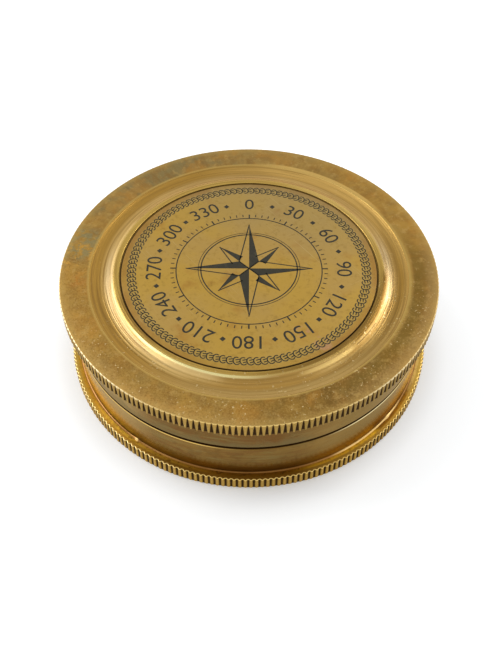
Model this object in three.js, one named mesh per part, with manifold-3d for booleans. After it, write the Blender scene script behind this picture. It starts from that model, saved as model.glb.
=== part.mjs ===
// A pocket compass in a round brass box. The lid screws down over a threaded neck, and a magnetised
// needle swings on a steel point under the glass.
// Millimetres, +Z up. The origin is the centre of the base's underside, and the needle rests along +Y.

import * as THREE from "three";
import { mergeVertices } from "three/addons/utils/BufferGeometryUtils.js";
import Module from "manifold-3d";

// Knurled rims: the base plate and the lid plate carry the same straight knurl
const RIM_DIAMETER = 76; // over the crests
const RIM_TEETH = 220;
const KNURL_DEPTH = 0.4; // crest to root
const RIM_OVERHANG = 1.8; // from the box walls out to the crests
const RIM_EDGE_BREAK = 0.3; // chamfer on the upper edge of a rim
const BASE_RIM_HEIGHT = 2.75;
const LID_RIM_HEIGHT = 3.05;
const LID_GROOVE_RUNOUT = 0.5; // plain edge left above the lid's tapered grooves
const PLATE_BOSS_HEIGHT = 0.4; // round step that centres each plate in its tube

// Box walls: case and lid skirt are cut from one tube and meet at the seam
const TUBE_WALL = 2.7;
const CASE_WALL_HEIGHT = 8.5;
const SKIRT_HEIGHT = 6.7;
const SEAM_GAP = 0.3;
const TUBE_EDGE_BREAK = 0.2; // worn edge on each side of the seam
const SOLDER_BEAD = 0.4; // leg of the solder bead at a tube's foot

// Threaded neck, soldered into the case wall
const THREAD_GAP = 0.4; // neck to skirt bore, room for the thread forms
const NECK_WALL = 2.4;
const NECK_TOP_GAP = 1.0; // neck to the underside of the lid
const NECK_LEAD = 0.6; // chamfer that starts the thread
const NECK_RELIEF = 0.9; // width of the undercut where the thread runs out
const NECK_RELIEF_DEPTH = 0.4;
const SKIRT_LEAD = 0.4; // chamfer at the mouth of the lid

// Top of the lid, from the rim inwards
const RIM_FLAT_WIDTH = 5.8;
const COVE_WIDTH = 5;
const COVE_DEPTH = 0.55;
const COVE_STEPS = 7;
const PLAQUE_LAND = 1.1; // narrow flat between the cove and the plaque
const PLAQUE_THICKNESS = 1;
const PLAQUE_DROP = 0.15; // plaque's face below the rim's face
const PLAQUE_EDGE_BREAK = 0.15;

// Dial, glass and the rings that hold them, stacked in the neck
const DIAL_PLATE_THICKNESS = 0.8;
const DIAL_CARD_THICKNESS = 0.4;
const SPACER_WALL = 2.3;
const GASKET_THICKNESS = 0.5;
const GLASS_THICKNESS = 1.8;
const GLASS_EDGE_BREAK = 0.25;
const GLASS_RING_HEIGHT = 1.6;
const GLASS_RING_WIDTH = 3.6;
const GLASS_RING_BEVEL = 0.7; // slope round the ring's opening
const GLASS_RING_RECESS = 1.9; // neck's top down to the ring
const KEY_SLOT_WIDTH = 2; // two slots for the key that turns the glass ring
const KEY_SLOT_DEPTH = 0.8;

// Pivot
const POST_TAIL_DIAMETER = 2;
const POST_FOOT_DIAMETER = 5.2;
const POST_FOOT_HEIGHT = 0.5;
const POST_STEM_DIAMETER = 2.6;
const POST_TIP_DIAMETER = 1.6;
const NUT_ACROSS_FLATS = 4;
const NUT_THICKNESS = 1.2;
const NUT_POCKET_SLACK = 0.4; // room round and under the nut
const PIN_DIAMETER = 0.9;
const PIN_LENGTH = 2; // out of the post
const PIN_SOCKET = 1.2; // held in the post
const PIN_TAPER = 1.2;
const PIVOT_GAP = 0.08; // steel point to the jewel

// Needle
const NEEDLE_TIP_GAP = 5; // needle's tips to the spacer ring
const NEEDLE_WIDTH = 6.4;
const NEEDLE_THICKNESS = 0.5;
const NEEDLE_HEADROOM = 1.2; // cap to glass, less than the jewel can lift off the point
const CAP_HEIGHT = 2.4; // above the needle
const CAP_FLANGE_DIAMETER = 5.2;
const CAP_FLANGE_HEIGHT = 0.5;
const CAP_SPIGOT_DIAMETER = 3.2; // through the needle
const CAP_RIVET = 0.25; // spigot below the needle
const CAP_BORE_DIAMETER = 2.4;
const CAP_CROWN_DIAMETER = 2.4;
const CAP_CROWN_THICKNESS = 0.5;
const CAP_CROWN_EDGE_BREAK = 0.25;
const JEWEL_DIAMETER = 1.6;
const JEWEL_HEIGHT = 0.8;
const JEWEL_CUP_DEPTH = 0.45;
const JEWEL_CUP_DIAMETER = 1;
const RIDER_DISTANCE = 11; // from the pivot along the south arm
const RIDER_LENGTH = 1.4;
const RIDER_STRIP = 0.5; // thickness of the strip folded round the arm

// Fits
const SOLDER_GAP = 0.1; // between soldered tubes
const STACK_GAP = 0.3; // between the stacked discs and the neck's bore
const CLOSE_GAP = 0.1; // pins, rivets and jewel in their holes
const PLAQUE_GAP = 0.3; // round the plaque in its recess

// Steps round a full turn
const LARGE_STEPS = 60;
const INNER_STEPS = 48;
const SMALL_STEPS = 20;

// Radii, worked out from the rim inwards
const rimRadius = RIM_DIAMETER / 2;
const rootRadius = rimRadius - KNURL_DEPTH;
const wallRadius = rimRadius - RIM_OVERHANG;
const tubeBore = wallRadius - TUBE_WALL;
const neckRadius = tubeBore - THREAD_GAP;
const neckFootRadius = tubeBore - SOLDER_GAP;
const neckBore = neckRadius - NECK_WALL;
const stackRadius = neckBore - STACK_GAP;
const spacerBore = stackRadius - SPACER_WALL;
const glassRingBore = stackRadius - GLASS_RING_WIDTH;
const coveOuter = rimRadius - RIM_FLAT_WIDTH;
const coveInner = coveOuter - COVE_WIDTH;
const recessRadius = coveInner - PLAQUE_LAND;
const plaqueRadius = recessRadius - PLAQUE_GAP;
const nutCorner = NUT_ACROSS_FLATS / Math.sqrt(3);
const nutPocketRadius = nutCorner + NUT_POCKET_SLACK;
const postHole = POST_TAIL_DIAMETER / 2 + CLOSE_GAP;
const needleReach = spacerBore - NEEDLE_TIP_GAP;

// Heights of the box, from the base upwards
const wallFoot = BASE_RIM_HEIGHT;
const wallTop = wallFoot + CASE_WALL_HEIGHT;
const skirtFoot = wallTop + SEAM_GAP;
const lidPlateUnder = skirtFoot + SKIRT_HEIGHT;
const lidTop = lidPlateUnder + LID_RIM_HEIGHT;
const lidBossUnder = lidPlateUnder - PLATE_BOSS_HEIGHT;
const plaqueTop = lidTop - PLAQUE_DROP;
const plaqueUnder = plaqueTop - PLAQUE_THICKNESS;
const neckTop = lidBossUnder - NECK_TOP_GAP;

// Heights of the dial stack; the spacer ring takes up what the other pieces leave
const dialPlateUnder = wallFoot + PLATE_BOSS_HEIGHT;
const dialPlateTop = dialPlateUnder + DIAL_PLATE_THICKNESS;
const dialCardTop = dialPlateTop + DIAL_CARD_THICKNESS;
const glassRingTop = neckTop - GLASS_RING_RECESS;
const glassTop = glassRingTop - GLASS_RING_HEIGHT;
const glassUnder = glassTop - GLASS_THICKNESS;
const gasketUnder = glassUnder - GASKET_THICKNESS;

// Heights of the needle and its pivot, hung from the glass downwards
const capTop = glassUnder - NEEDLE_HEADROOM;
const needleTop = capTop - CAP_HEIGHT;
const needleUnder = needleTop - NEEDLE_THICKNESS;
const capFoot = needleUnder - CAP_RIVET;
const jewelSeat = capTop - CAP_CROWN_THICKNESS;
const jewelTop = jewelSeat - CLOSE_GAP;
const jewelUnder = jewelTop - JEWEL_HEIGHT;
const pinTip = jewelUnder + JEWEL_CUP_DEPTH - PIVOT_GAP;
const postTop = pinTip - PIN_LENGTH;
const pinFoot = postTop - PIN_SOCKET;
const nutUnder = dialPlateUnder - NUT_THICKNESS;
const nutPocketFloor = nutUnder - NUT_POCKET_SLACK;

const wasm = await Module();
wasm.setup();

// Materials
const metal = (colour, roughness) =>
  new THREE.MeshStandardMaterial({ color: colour, roughness, metalness: 1 });
const matter = (colour, roughness) =>
  new THREE.MeshStandardMaterial({ color: colour, roughness, metalness: 0 });
const rimBrass = metal(0x96764a, 0.42);
const wallBrass = metal(0x7a5e34, 0.45);
const plaqueBrass = metal(0xa68742, 0.4);
const innerBrass = metal(0xb0893f, 0.35);
const solder = metal(0xb0744a, 0.4);
const steel = metal(0x8f9499, 0.3);
const bluedSteel = metal(0x2b3a5c, 0.35);
const cardPaper = matter(0xe9dfc4, 0.85);
const corkGrey = matter(0x4a4640, 0.9);
const agate = matter(0x8c3b2c, 0.25);
const clearGlass = new THREE.MeshStandardMaterial({
  color: 0xe8f0ee,
  roughness: 0.05,
  metalness: 0,
  transparent: true,
  opacity: 0.3,
});

// A turned solid. The profile lists [radius, height] anticlockwise, so that the metal lies on its left,
// and it starts and ends on the axis or closes on itself.
function turned(profile, steps) {
  const points = profile.map(([radius, height]) => new THREE.Vector2(radius, height));
  return new THREE.LatheGeometry(points, steps).rotateX(Math.PI / 2);
}

// A turned ring: the profile is closed on its first point.
function turnedRing(profile, steps) {
  return turned([...profile, profile[0]], steps);
}

// A plain flat ring.
function washer(bore, radius, under, top, steps) {
  const corners = [[bore, under], [radius, under], [radius, top], [bore, top]];
  return turnedRing(corners, steps);
}

// One ring of points round the axis; radiusAt gives the radius of each point.
function ringOf(count, height, radiusAt) {
  return Array.from({ length: count }, (_, i) => {
    const angle = (i / count) * 2 * Math.PI;
    const radius = radiusAt(i);
    return new THREE.Vector3(radius * Math.cos(angle), radius * Math.sin(angle), height);
  });
}

const roundRing = (radius, height) => ringOf(LARGE_STEPS, height, () => radius);
const smallRing = (radius, height) => ringOf(SMALL_STEPS, height, () => radius);
const pole = (height) => [new THREE.Vector3(0, 0, height)];

// A ring of knurl: crests on the even points, roots on the odd ones.
function knurlRing(height, crest, root) {
  return ringOf(2 * RIM_TEETH, height, (i) => (i % 2 === 0 ? crest : root));
}

// A closed skin over rings that may differ in their number of points, listed anticlockwise in section
// from the lower pole to the upper one. Each band is zipped up by angle.
function skinned(rings) {
  const points = rings.flat();
  const triangles = [];
  let lower = 0;
  for (let k = 0; k + 1 < rings.length; k += 1) {
    const upper = lower + rings[k].length;
    zip(lower, rings[k].length, upper, rings[k + 1].length, triangles);
    lower = upper;
  }
  const geometry = new THREE.BufferGeometry().setFromPoints(points);
  geometry.setIndex(triangles);
  geometry.computeVertexNormals();
  return geometry;
}

function zip(lower, lowerCount, upper, upperCount, triangles) {
  const lowerSteps = lowerCount > 1 ? lowerCount : 0;
  const upperSteps = upperCount > 1 ? upperCount : 0;
  let i = 0;
  let j = 0;
  while (i < lowerSteps || j < upperSteps) {
    const a = lower + (i % lowerCount);
    const b = upper + (j % upperCount);
    const lead = (j + 1) * lowerSteps - (i + 1) * upperSteps;
    // On a tie the diagonals alternate, which keeps both flanks of a groove alike.
    const lowerFirst = j >= upperSteps || (i < lowerSteps && (lead > 0 || (lead === 0 && i % 2 === 0)));
    if (lowerFirst) {
      i += 1;
      triangles.push(a, lower + (i % lowerCount), b);
    } else {
      j += 1;
      triangles.push(a, upper + (j % upperCount), b);
    }
  }
}

// A closed geometry as a solid for cutting, and back again.
function solidOf(geometry) {
  const bare = geometry.clone();
  bare.deleteAttribute("normal");
  bare.deleteAttribute("uv");
  const merged = mergeVertices(bare, 1e-4);
  return new wasm.Manifold(
    new wasm.Mesh({
      numProp: 3,
      vertProperties: new Float32Array(merged.attributes.position.array),
      triVerts: new Uint32Array(merged.index.array),
    }),
  );
}

function geometryOf(solid) {
  const mesh = solid.getMesh();
  const geometry = new THREE.BufferGeometry();
  geometry.setAttribute("position", new THREE.BufferAttribute(new Float32Array(mesh.vertProperties), 3));
  geometry.setIndex(new THREE.BufferAttribute(new Uint32Array(mesh.triVerts), 1));
  geometry.computeVertexNormals();
  return geometry;
}

function circleHole(radius) {
  return new THREE.Path().absarc(0, 0, radius, 0, 2 * Math.PI, true);
}

// Base: a knurled plate with straight grooves, a centring step and a pocket for the pivot's nut
function basePlate() {
  return skinned([
    pole(0),
    roundRing(wallRadius, 0),
    knurlRing(0, rimRadius, rootRadius),
    knurlRing(wallFoot - RIM_EDGE_BREAK, rimRadius, rootRadius),
    knurlRing(wallFoot, rimRadius - RIM_EDGE_BREAK, rootRadius),
    roundRing(stackRadius, wallFoot),
    roundRing(stackRadius, dialPlateUnder),
    smallRing(nutPocketRadius, dialPlateUnder),
    smallRing(nutPocketRadius, nutPocketFloor),
    pole(nutPocketFloor),
  ]);
}

// Lid: the grooves deepen downwards and run out below a plain upper edge; the face has a turned cove
// and a shallow recess for the plaque
function lidPlate() {
  const outer = [
    pole(lidBossUnder),
    roundRing(tubeBore - SOLDER_GAP, lidBossUnder),
    roundRing(tubeBore - SOLDER_GAP, lidPlateUnder),
    knurlRing(lidPlateUnder, rimRadius, rootRadius),
    knurlRing(lidTop - LID_GROOVE_RUNOUT, rimRadius, rimRadius),
    roundRing(rimRadius - RIM_EDGE_BREAK, lidTop),
  ];
  const recess = [
    roundRing(recessRadius, lidTop),
    roundRing(recessRadius, plaqueUnder),
    pole(plaqueUnder),
  ];
  return skinned([...outer, ...coveRings(), ...recess]);
}

// The cove is one circular arc in section, through both edges and COVE_DEPTH deep.
function coveRings() {
  const halfWidth = COVE_WIDTH / 2;
  const arcRadius = (halfWidth ** 2 + COVE_DEPTH ** 2) / (2 * COVE_DEPTH);
  const halfAngle = Math.atan2(halfWidth, arcRadius - COVE_DEPTH);
  const middle = coveInner + halfWidth;
  const centreHeight = lidTop + arcRadius - COVE_DEPTH;
  return Array.from({ length: COVE_STEPS + 1 }, (_, k) => {
    const angle = halfAngle * (1 - (2 * k) / COVE_STEPS);
    return roundRing(middle + arcRadius * Math.sin(angle), centreHeight - arcRadius * Math.cos(angle));
  });
}

function lidPlaque() {
  const shoulder = plaqueTop - PLAQUE_EDGE_BREAK;
  const face = plaqueRadius - PLAQUE_EDGE_BREAK;
  return turned(
    [[0, plaqueUnder], [plaqueRadius, plaqueUnder], [plaqueRadius, shoulder], [face, plaqueTop], [0, plaqueTop]],
    LARGE_STEPS,
  );
}

function caseWall() {
  return turnedRing(
    [
      [tubeBore, wallFoot],
      [wallRadius, wallFoot],
      [wallRadius, wallTop - TUBE_EDGE_BREAK],
      [wallRadius - TUBE_EDGE_BREAK, wallTop],
      [tubeBore, wallTop],
    ],
    LARGE_STEPS,
  );
}

function lidSkirt() {
  return turnedRing(
    [
      [tubeBore, skirtFoot + SKIRT_LEAD],
      [tubeBore + SKIRT_LEAD, skirtFoot],
      [wallRadius - TUBE_EDGE_BREAK, skirtFoot],
      [wallRadius, skirtFoot + TUBE_EDGE_BREAK],
      [wallRadius, lidPlateUnder],
      [tubeBore, lidPlateUnder],
    ],
    LARGE_STEPS,
  );
}

// The neck is full size where it is soldered into the case wall, and turned down for the thread above it.
function neckRing() {
  const reliefRadius = neckRadius - NECK_RELIEF_DEPTH;
  const reliefTop = wallTop + NECK_RELIEF;
  return turnedRing(
    [
      [neckBore, wallFoot],
      [neckFootRadius, wallFoot],
      [neckFootRadius, wallTop],
      [reliefRadius, wallTop],
      [reliefRadius, reliefTop],
      [neckRadius, reliefTop + NECK_RELIEF_DEPTH],
      [neckRadius, neckTop - NECK_LEAD],
      [neckRadius - NECK_LEAD, neckTop],
      [neckBore, neckTop],
    ],
    LARGE_STEPS,
  );
}

// A round-faced bead of solder in the corner between a tube and its plate; it stands on the plate's
// face at height seat and reaches away from it in the direction given, up or down.
function solderBead(seat, direction) {
  const inner = wallRadius + SOLDER_GAP;
  const crown = SOLDER_BEAD * Math.SQRT1_2;
  const corner = [inner, seat];
  const onPlate = [inner + SOLDER_BEAD, seat];
  const face = [inner + crown, seat + direction * crown];
  const onTube = [inner, seat + direction * SOLDER_BEAD];
  const upwards = [corner, onPlate, face, onTube];
  return turnedRing(direction > 0 ? upwards : upwards.reverse(), LARGE_STEPS);
}

function glassDisc() {
  const edge = stackRadius - GLASS_EDGE_BREAK;
  return turned(
    [
      [0, glassUnder],
      [stackRadius, glassUnder],
      [stackRadius, glassTop - GLASS_EDGE_BREAK],
      [edge, glassTop],
      [0, glassTop],
    ],
    INNER_STEPS,
  );
}

// The glass ring screws down into the neck; two slots across its face take a key.
function glassRing() {
  const blank = turnedRing(
    [
      [glassRingBore, glassTop],
      [stackRadius, glassTop],
      [stackRadius, glassRingTop],
      [glassRingBore + GLASS_RING_BEVEL, glassRingTop],
      [glassRingBore, glassRingTop - GLASS_RING_BEVEL],
    ],
    LARGE_STEPS,
  );
  const slotCutter = new THREE.BoxGeometry(4 * stackRadius, KEY_SLOT_WIDTH, 2 * KEY_SLOT_DEPTH);
  slotCutter.translate(0, 0, glassRingTop);
  return geometryOf(solidOf(blank).subtract(solidOf(slotCutter)));
}

// The post stands on the dial card and is drawn down by the nut under the dial plate.
function pivotPost() {
  const tail = POST_TAIL_DIAMETER / 2;
  const stem = POST_STEM_DIAMETER / 2;
  const foot = POST_FOOT_DIAMETER / 2;
  const socket = PIN_DIAMETER / 2 + CLOSE_GAP / 2;
  const footTop = dialCardTop + POST_FOOT_HEIGHT;
  return turned(
    [
      [0, nutUnder],
      [tail, nutUnder],
      [tail, dialCardTop],
      [foot, dialCardTop],
      [foot, footTop],
      [stem, footTop],
      [POST_TIP_DIAMETER / 2, postTop],
      [socket, postTop],
      [socket, pinFoot],
      [0, pinFoot],
    ],
    SMALL_STEPS,
  );
}

function pivotPin() {
  const radius = PIN_DIAMETER / 2;
  return turned([[0, pinFoot], [radius, pinFoot], [radius, pinTip - PIN_TAPER], [0, pinTip]], SMALL_STEPS);
}

function pivotNut() {
  const outline = new THREE.Shape();
  const corners = Array.from({ length: 6 }, (_, k) => {
    const angle = (k / 6) * 2 * Math.PI;
    return new THREE.Vector2(nutCorner * Math.cos(angle), nutCorner * Math.sin(angle));
  });
  outline.setFromPoints(corners);
  outline.holes.push(circleHole(postHole));
  return new THREE.ExtrudeGeometry(outline, {
    depth: NUT_THICKNESS,
    bevelEnabled: false,
    curveSegments: SMALL_STEPS,
  });
}

// A slim lozenge, pierced for the cap.
function needleBlade() {
  const halfWidth = NEEDLE_WIDTH / 2;
  const outline = new THREE.Shape();
  outline.moveTo(0, -needleReach);
  outline.lineTo(halfWidth, 0);
  outline.lineTo(0, needleReach);
  outline.lineTo(-halfWidth, 0);
  outline.closePath();
  outline.holes.push(circleHole(CAP_SPIGOT_DIAMETER / 2 + CLOSE_GAP));
  return new THREE.ExtrudeGeometry(outline, {
    depth: NEEDLE_THICKNESS,
    bevelEnabled: false,
    curveSegments: SMALL_STEPS,
  });
}

// The cap is riveted through the needle, coned inside to find the point, and holds the jewel.
function needleCap() {
  const pocket = JEWEL_DIAMETER / 2 + CLOSE_GAP;
  const bore = CAP_BORE_DIAMETER / 2;
  const spigot = CAP_SPIGOT_DIAMETER / 2;
  const flange = CAP_FLANGE_DIAMETER / 2;
  const crown = CAP_CROWN_DIAMETER / 2;
  return turned(
    [
      [0, jewelSeat],
      [pocket, jewelSeat],
      [pocket, jewelUnder],
      [bore, capFoot],
      [spigot, capFoot],
      [spigot, needleTop],
      [flange, needleTop],
      [flange, needleTop + CAP_FLANGE_HEIGHT],
      [crown, capTop - CAP_CROWN_EDGE_BREAK],
      [crown - CAP_CROWN_EDGE_BREAK, capTop],
      [0, capTop],
    ],
    SMALL_STEPS,
  );
}

function needleJewel() {
  const radius = JEWEL_DIAMETER / 2;
  return turned(
    [
      [0, jewelUnder + JEWEL_CUP_DEPTH],
      [JEWEL_CUP_DIAMETER / 2, jewelUnder],
      [radius, jewelUnder],
      [radius, jewelTop],
      [0, jewelTop],
    ],
    SMALL_STEPS,
  );
}

// A folded strip that slides on the south arm to level the needle.
function balanceRider() {
  const armWidth = NEEDLE_WIDTH * (1 - RIDER_DISTANCE / needleReach);
  const holeX = armWidth / 2 + CLOSE_GAP;
  const holeY = NEEDLE_THICKNESS / 2 + CLOSE_GAP;
  const outline = rectangle(holeX + RIDER_STRIP, holeY + RIDER_STRIP);
  outline.holes.push(rectangle(holeX, holeY));
  return new THREE.ExtrudeGeometry(outline, { depth: RIDER_LENGTH, bevelEnabled: false });
}

function rectangle(halfX, halfY) {
  const corners = [[-halfX, -halfY], [halfX, -halfY], [halfX, halfY], [-halfX, halfY]];
  return new THREE.Shape(corners.map(([x, y]) => new THREE.Vector2(x, y)));
}

function piece(name, geometry, material) {
  const mesh = new THREE.Mesh(geometry, material);
  mesh.name = name;
  return mesh;
}

// Case: what stays on the table when the lid is off
const caseGroup = new THREE.Group();
const nut = piece("pivot_nut", pivotNut(), innerBrass);
nut.position.z = nutUnder;
caseGroup.add(
  piece("base_plate", basePlate(), rimBrass),
  piece("base_solder_bead", solderBead(wallFoot, 1), solder),
  piece("case_wall", caseWall(), wallBrass),
  piece("neck_ring", neckRing(), innerBrass),
  piece("dial_plate", washer(postHole, stackRadius, dialPlateUnder, dialPlateTop, INNER_STEPS), innerBrass),
  piece("dial_card", washer(postHole, stackRadius, dialPlateTop, dialCardTop, INNER_STEPS), cardPaper),
  piece("pivot_post", pivotPost(), innerBrass),
  nut,
  piece("pivot_pin", pivotPin(), steel),
  piece("spacer_ring", washer(spacerBore, stackRadius, dialCardTop, gasketUnder, INNER_STEPS), innerBrass),
  piece("glass_gasket", washer(spacerBore, stackRadius, gasketUnder, glassUnder, INNER_STEPS), corkGrey),
  piece("glass", glassDisc(), clearGlass),
  piece("glass_ring", glassRing(), innerBrass),
);

// Needle: blade, cap, jewel and balance rider swing together
const needleGroup = new THREE.Group();
const blade = piece("needle_blade", needleBlade(), bluedSteel);
blade.position.z = needleUnder;
const rider = piece("balance_rider", balanceRider(), innerBrass);
rider.position.set(0, -RIDER_DISTANCE, needleUnder + NEEDLE_THICKNESS / 2);
rider.rotation.x = Math.PI / 2;
needleGroup.add(
  blade,
  piece("needle_cap", needleCap(), innerBrass),
  piece("needle_jewel", needleJewel(), agate),
  rider,
);

// Lid: plate, skirt and plaque, with the bead of solder that joins plate and skirt
const lidGroup = new THREE.Group();
lidGroup.add(
  piece("lid_plate", lidPlate(), rimBrass),
  piece("lid_skirt", lidSkirt(), wallBrass),
  piece("lid_plaque", lidPlaque(), plaqueBrass),
  piece("lid_solder_bead", solderBead(lidPlateUnder, -1), solder),
);

const compass = new THREE.Group();
compass.add(caseGroup, needleGroup, lidGroup);

export default compass;
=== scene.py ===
# Looks of a round brass pocket compass with a screw lid: a fine mesh and a worn finish for each piece.
# +Z up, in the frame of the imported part. Lengths are millimetres until piece() scales a mesh to metres.
import math
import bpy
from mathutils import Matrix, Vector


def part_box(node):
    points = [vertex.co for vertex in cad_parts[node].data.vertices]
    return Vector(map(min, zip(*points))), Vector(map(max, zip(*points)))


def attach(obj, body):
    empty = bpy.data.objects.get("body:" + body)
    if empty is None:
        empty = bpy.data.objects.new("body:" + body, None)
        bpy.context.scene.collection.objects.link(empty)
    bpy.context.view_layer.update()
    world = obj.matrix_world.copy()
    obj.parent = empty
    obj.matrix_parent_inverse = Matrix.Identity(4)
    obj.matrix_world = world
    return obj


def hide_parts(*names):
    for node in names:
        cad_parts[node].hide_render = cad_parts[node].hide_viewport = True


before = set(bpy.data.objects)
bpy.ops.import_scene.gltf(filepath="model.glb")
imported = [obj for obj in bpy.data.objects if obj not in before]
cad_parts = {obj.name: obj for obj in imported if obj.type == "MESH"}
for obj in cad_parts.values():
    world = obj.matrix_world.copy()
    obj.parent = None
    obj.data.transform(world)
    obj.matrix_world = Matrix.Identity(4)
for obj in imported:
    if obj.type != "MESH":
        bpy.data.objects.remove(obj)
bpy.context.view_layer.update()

from types import SimpleNamespace

import bmesh
import bpy
from mathutils import Matrix, Vector

MM = 0.001
TURN = 2 * math.pi


# Sizes that the frame gives: a turned piece's outer radius, foot and top

def reach(node):
    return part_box(node)[1].x / MM


def foot(node):
    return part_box(node)[0].z / MM


def top(node):
    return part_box(node)[1].z / MM


rim_radius = reach("lid_plate")
wall_radius = reach("lid_skirt")
neck_foot_radius = reach("neck_ring")
stack_radius = reach("glass")
plaque_radius = reach("lid_plaque")
lid_top = top("lid_plate")
lid_under = top("lid_skirt")
skirt_foot = foot("lid_skirt")
wall_foot = foot("case_wall")
wall_top = top("case_wall")
plaque_face = top("lid_plaque")
card_face = top("dial_card")

# Knurled rims
RIM_TEETH = 220
CELLS_PER_TOOTH = 8
PLATE_STEPS = 2 * RIM_TEETH
KNURL_STEPS = CELLS_PER_TOOTH * RIM_TEETH
CREST_CROWN = 0.05
LID_EDGE_ROUNDING = 0.24
LID_GROOVE_RUNOUT = 0.02
BASE_EDGE_ROUNDING = 0.17
LOWER_EDGE_ROUNDING = 0.1
LEVEL_TOLERANCE = 0.001

# Top of the lid
COVE_OUTER = rim_radius - 5.8
COVE_INNER = COVE_OUTER - 5
COVE_DEPTH = 0.55
COVE_STEPS = 26
RECESS_RADIUS = plaque_radius + 0.3
PLAQUE_SEAT = plaque_radius + 0.06

# Walls and thread
TUBE_BORE = wall_radius - 2.7
SEAM_CHAMFER = 0.54
SEAM_EDGE = 0.12
THREAD_PITCH = 1.5
THREAD_HEIGHT = 0.3
NECK_RADIUS = TUBE_BORE - 0.4
NECK_BORE = NECK_RADIUS - 2.4
NECK_LEAD = 0.6
RELIEF_DEPTH = 0.4
RELIEF_WIDTH = 0.9
SOLDER_LEG = 0.34

# Steps of a smooth turned piece, and of an eased corner
ROUND_STEPS = 360
SMALL_STEPS = 64
EASE_STEPS = 5
SMOOTH_ANGLE = math.radians(38)

# Ink: flat lines that stand a hair above the face that carries them
INK_PROUD = 0.012
INK_DEPTH = 0.05


# Nodes: formulas written as plain arithmetic on the outputs of nodes

class Wire:
    """An output of a node. Arithmetic on it adds Math nodes to the same tree."""

    def __init__(self, nodes, socket):
        self.nodes = nodes
        self.socket = socket

    def __add__(self, other):
        return self.nodes.math("ADD", self, other)

    def __sub__(self, other):
        return self.nodes.math("SUBTRACT", self, other)

    def __rsub__(self, other):
        return self.nodes.math("SUBTRACT", other, self)

    def __mul__(self, other):
        return self.nodes.math("MULTIPLY", self, other)

    def __truediv__(self, other):
        return self.nodes.math("DIVIDE", self, other)

    def __rtruediv__(self, other):
        return self.nodes.math("DIVIDE", other, self)

    __radd__ = __add__
    __rmul__ = __mul__

    def clamp(self):
        return self.nodes.math("ADD", self, 0.0, clamp=True)

    def between(self, low, high, start=0.0, end=1.0):
        """A smooth step from start at low to end at high."""
        limits = {"Value": self, "From Min": low, "From Max": high, "To Min": start, "To Max": end}
        return self.nodes.wire("ShaderNodeMapRange", "Result", limits, interpolation_type="SMOOTHSTEP")

    def band(self, rise, full, fall, gone):
        """A smooth step up from rise to full, and down again from fall to gone."""
        return self.between(rise, full) * self.between(fall, gone, 1, 0)


class Nodes:
    """Adds nodes to one tree and links them."""

    def __init__(self, tree):
        self.tree = tree

    def add(self, kind, inputs=(), **settings):
        node = self.tree.nodes.new(kind)
        for name, value in settings.items():
            setattr(node, name, value)
        for name, value in dict(inputs).items():
            self.feed(node.inputs[name], value)
        return node

    def feed(self, socket, value):
        if isinstance(value, Wire):
            self.tree.links.new(value.socket, socket)
        else:
            socket.default_value = value

    def wire(self, kind, output, inputs=(), **settings):
        return Wire(self, self.add(kind, inputs, **settings).outputs[output])

    def part(self, kind, output="Geometry", settings=(), **inputs):
        """A geometry node, with its inputs' names written with underscores."""
        named = {name.replace("_", " "): value for name, value in inputs.items()}
        return self.wire("GeometryNode" + kind, output, named, **dict(settings))

    def math(self, operation, *values, clamp=False):
        inputs = dict(enumerate(values))
        return self.wire("ShaderNodeMath", 0, inputs, operation=operation, use_clamp=clamp)

    def split(self, vector):
        node = self.add("ShaderNodeSeparateXYZ", {0: vector})
        return [Wire(self, socket) for socket in node.outputs]

    def join(self, x, y, z):
        return self.wire("ShaderNodeCombineXYZ", 0, {0: x, 1: y, 2: z})

    def mix(self, share, first, second):
        """A colour between first, at share 0, and second, at share 1."""
        return self.wire("ShaderNodeMix", 2, {0: share, 6: first, 7: second}, data_type="RGBA")


# Geometry Nodes trees

def linked(name, data):
    made = bpy.data.objects.new(name, data)
    bpy.context.scene.collection.objects.link(made)
    return made


def geometry_tree(name, counts, sizes):
    """A new tree with whole counts, sizes and a material as named inputs: its helper and these inputs."""
    tree = bpy.data.node_groups.new(name, "GeometryNodeTree")
    kinds = {"geometry": "Geometry", "material": "Material"}
    kinds.update(dict.fromkeys(counts.split(), "Int"))
    kinds.update(dict.fromkeys(sizes.split(), "Float"))
    for label, kind in kinds.items():
        tree.interface.new_socket(label, in_out="INPUT", socket_type="NodeSocket" + kind)
    tree.interface.new_socket("geometry", in_out="OUTPUT", socket_type="NodeSocketGeometry")
    nodes = Nodes(tree)
    entry = nodes.add("NodeGroupInput")
    return nodes, SimpleNamespace(**{label: Wire(nodes, entry.outputs[label]) for label in kinds})


def close_tree(nodes, geometry, given):
    real = nodes.part("RealizeInstances", Geometry=geometry)
    painted = nodes.part("SetMaterial", Geometry=real, Material=given.material)
    nodes.add("NodeGroupOutput", {"geometry": painted})
    return nodes.tree


def run_tree(tree, mesh, **inputs):
    """The plain mesh that a tree makes of a mesh."""
    carrier = linked(tree.name + "_carrier", mesh)
    modifier = carrier.modifiers.new(tree.name, "NODES")
    modifier.node_group = tree
    for socket in tree.interface.items_tree:
        if socket.in_out == "INPUT" and socket.name in inputs:
            modifier[socket.identifier] = inputs[socket.name]
    return taken_from(carrier)


def taken_from(carrier):
    """The evaluated mesh of an object, which is then removed."""
    depsgraph = bpy.context.evaluated_depsgraph_get()
    shown = carrier.evaluated_get(depsgraph)
    made = bpy.data.meshes.new_from_object(shown, preserve_all_data_layers=True, depsgraph=depsgraph)
    bpy.data.objects.remove(carrier)
    return made


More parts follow.
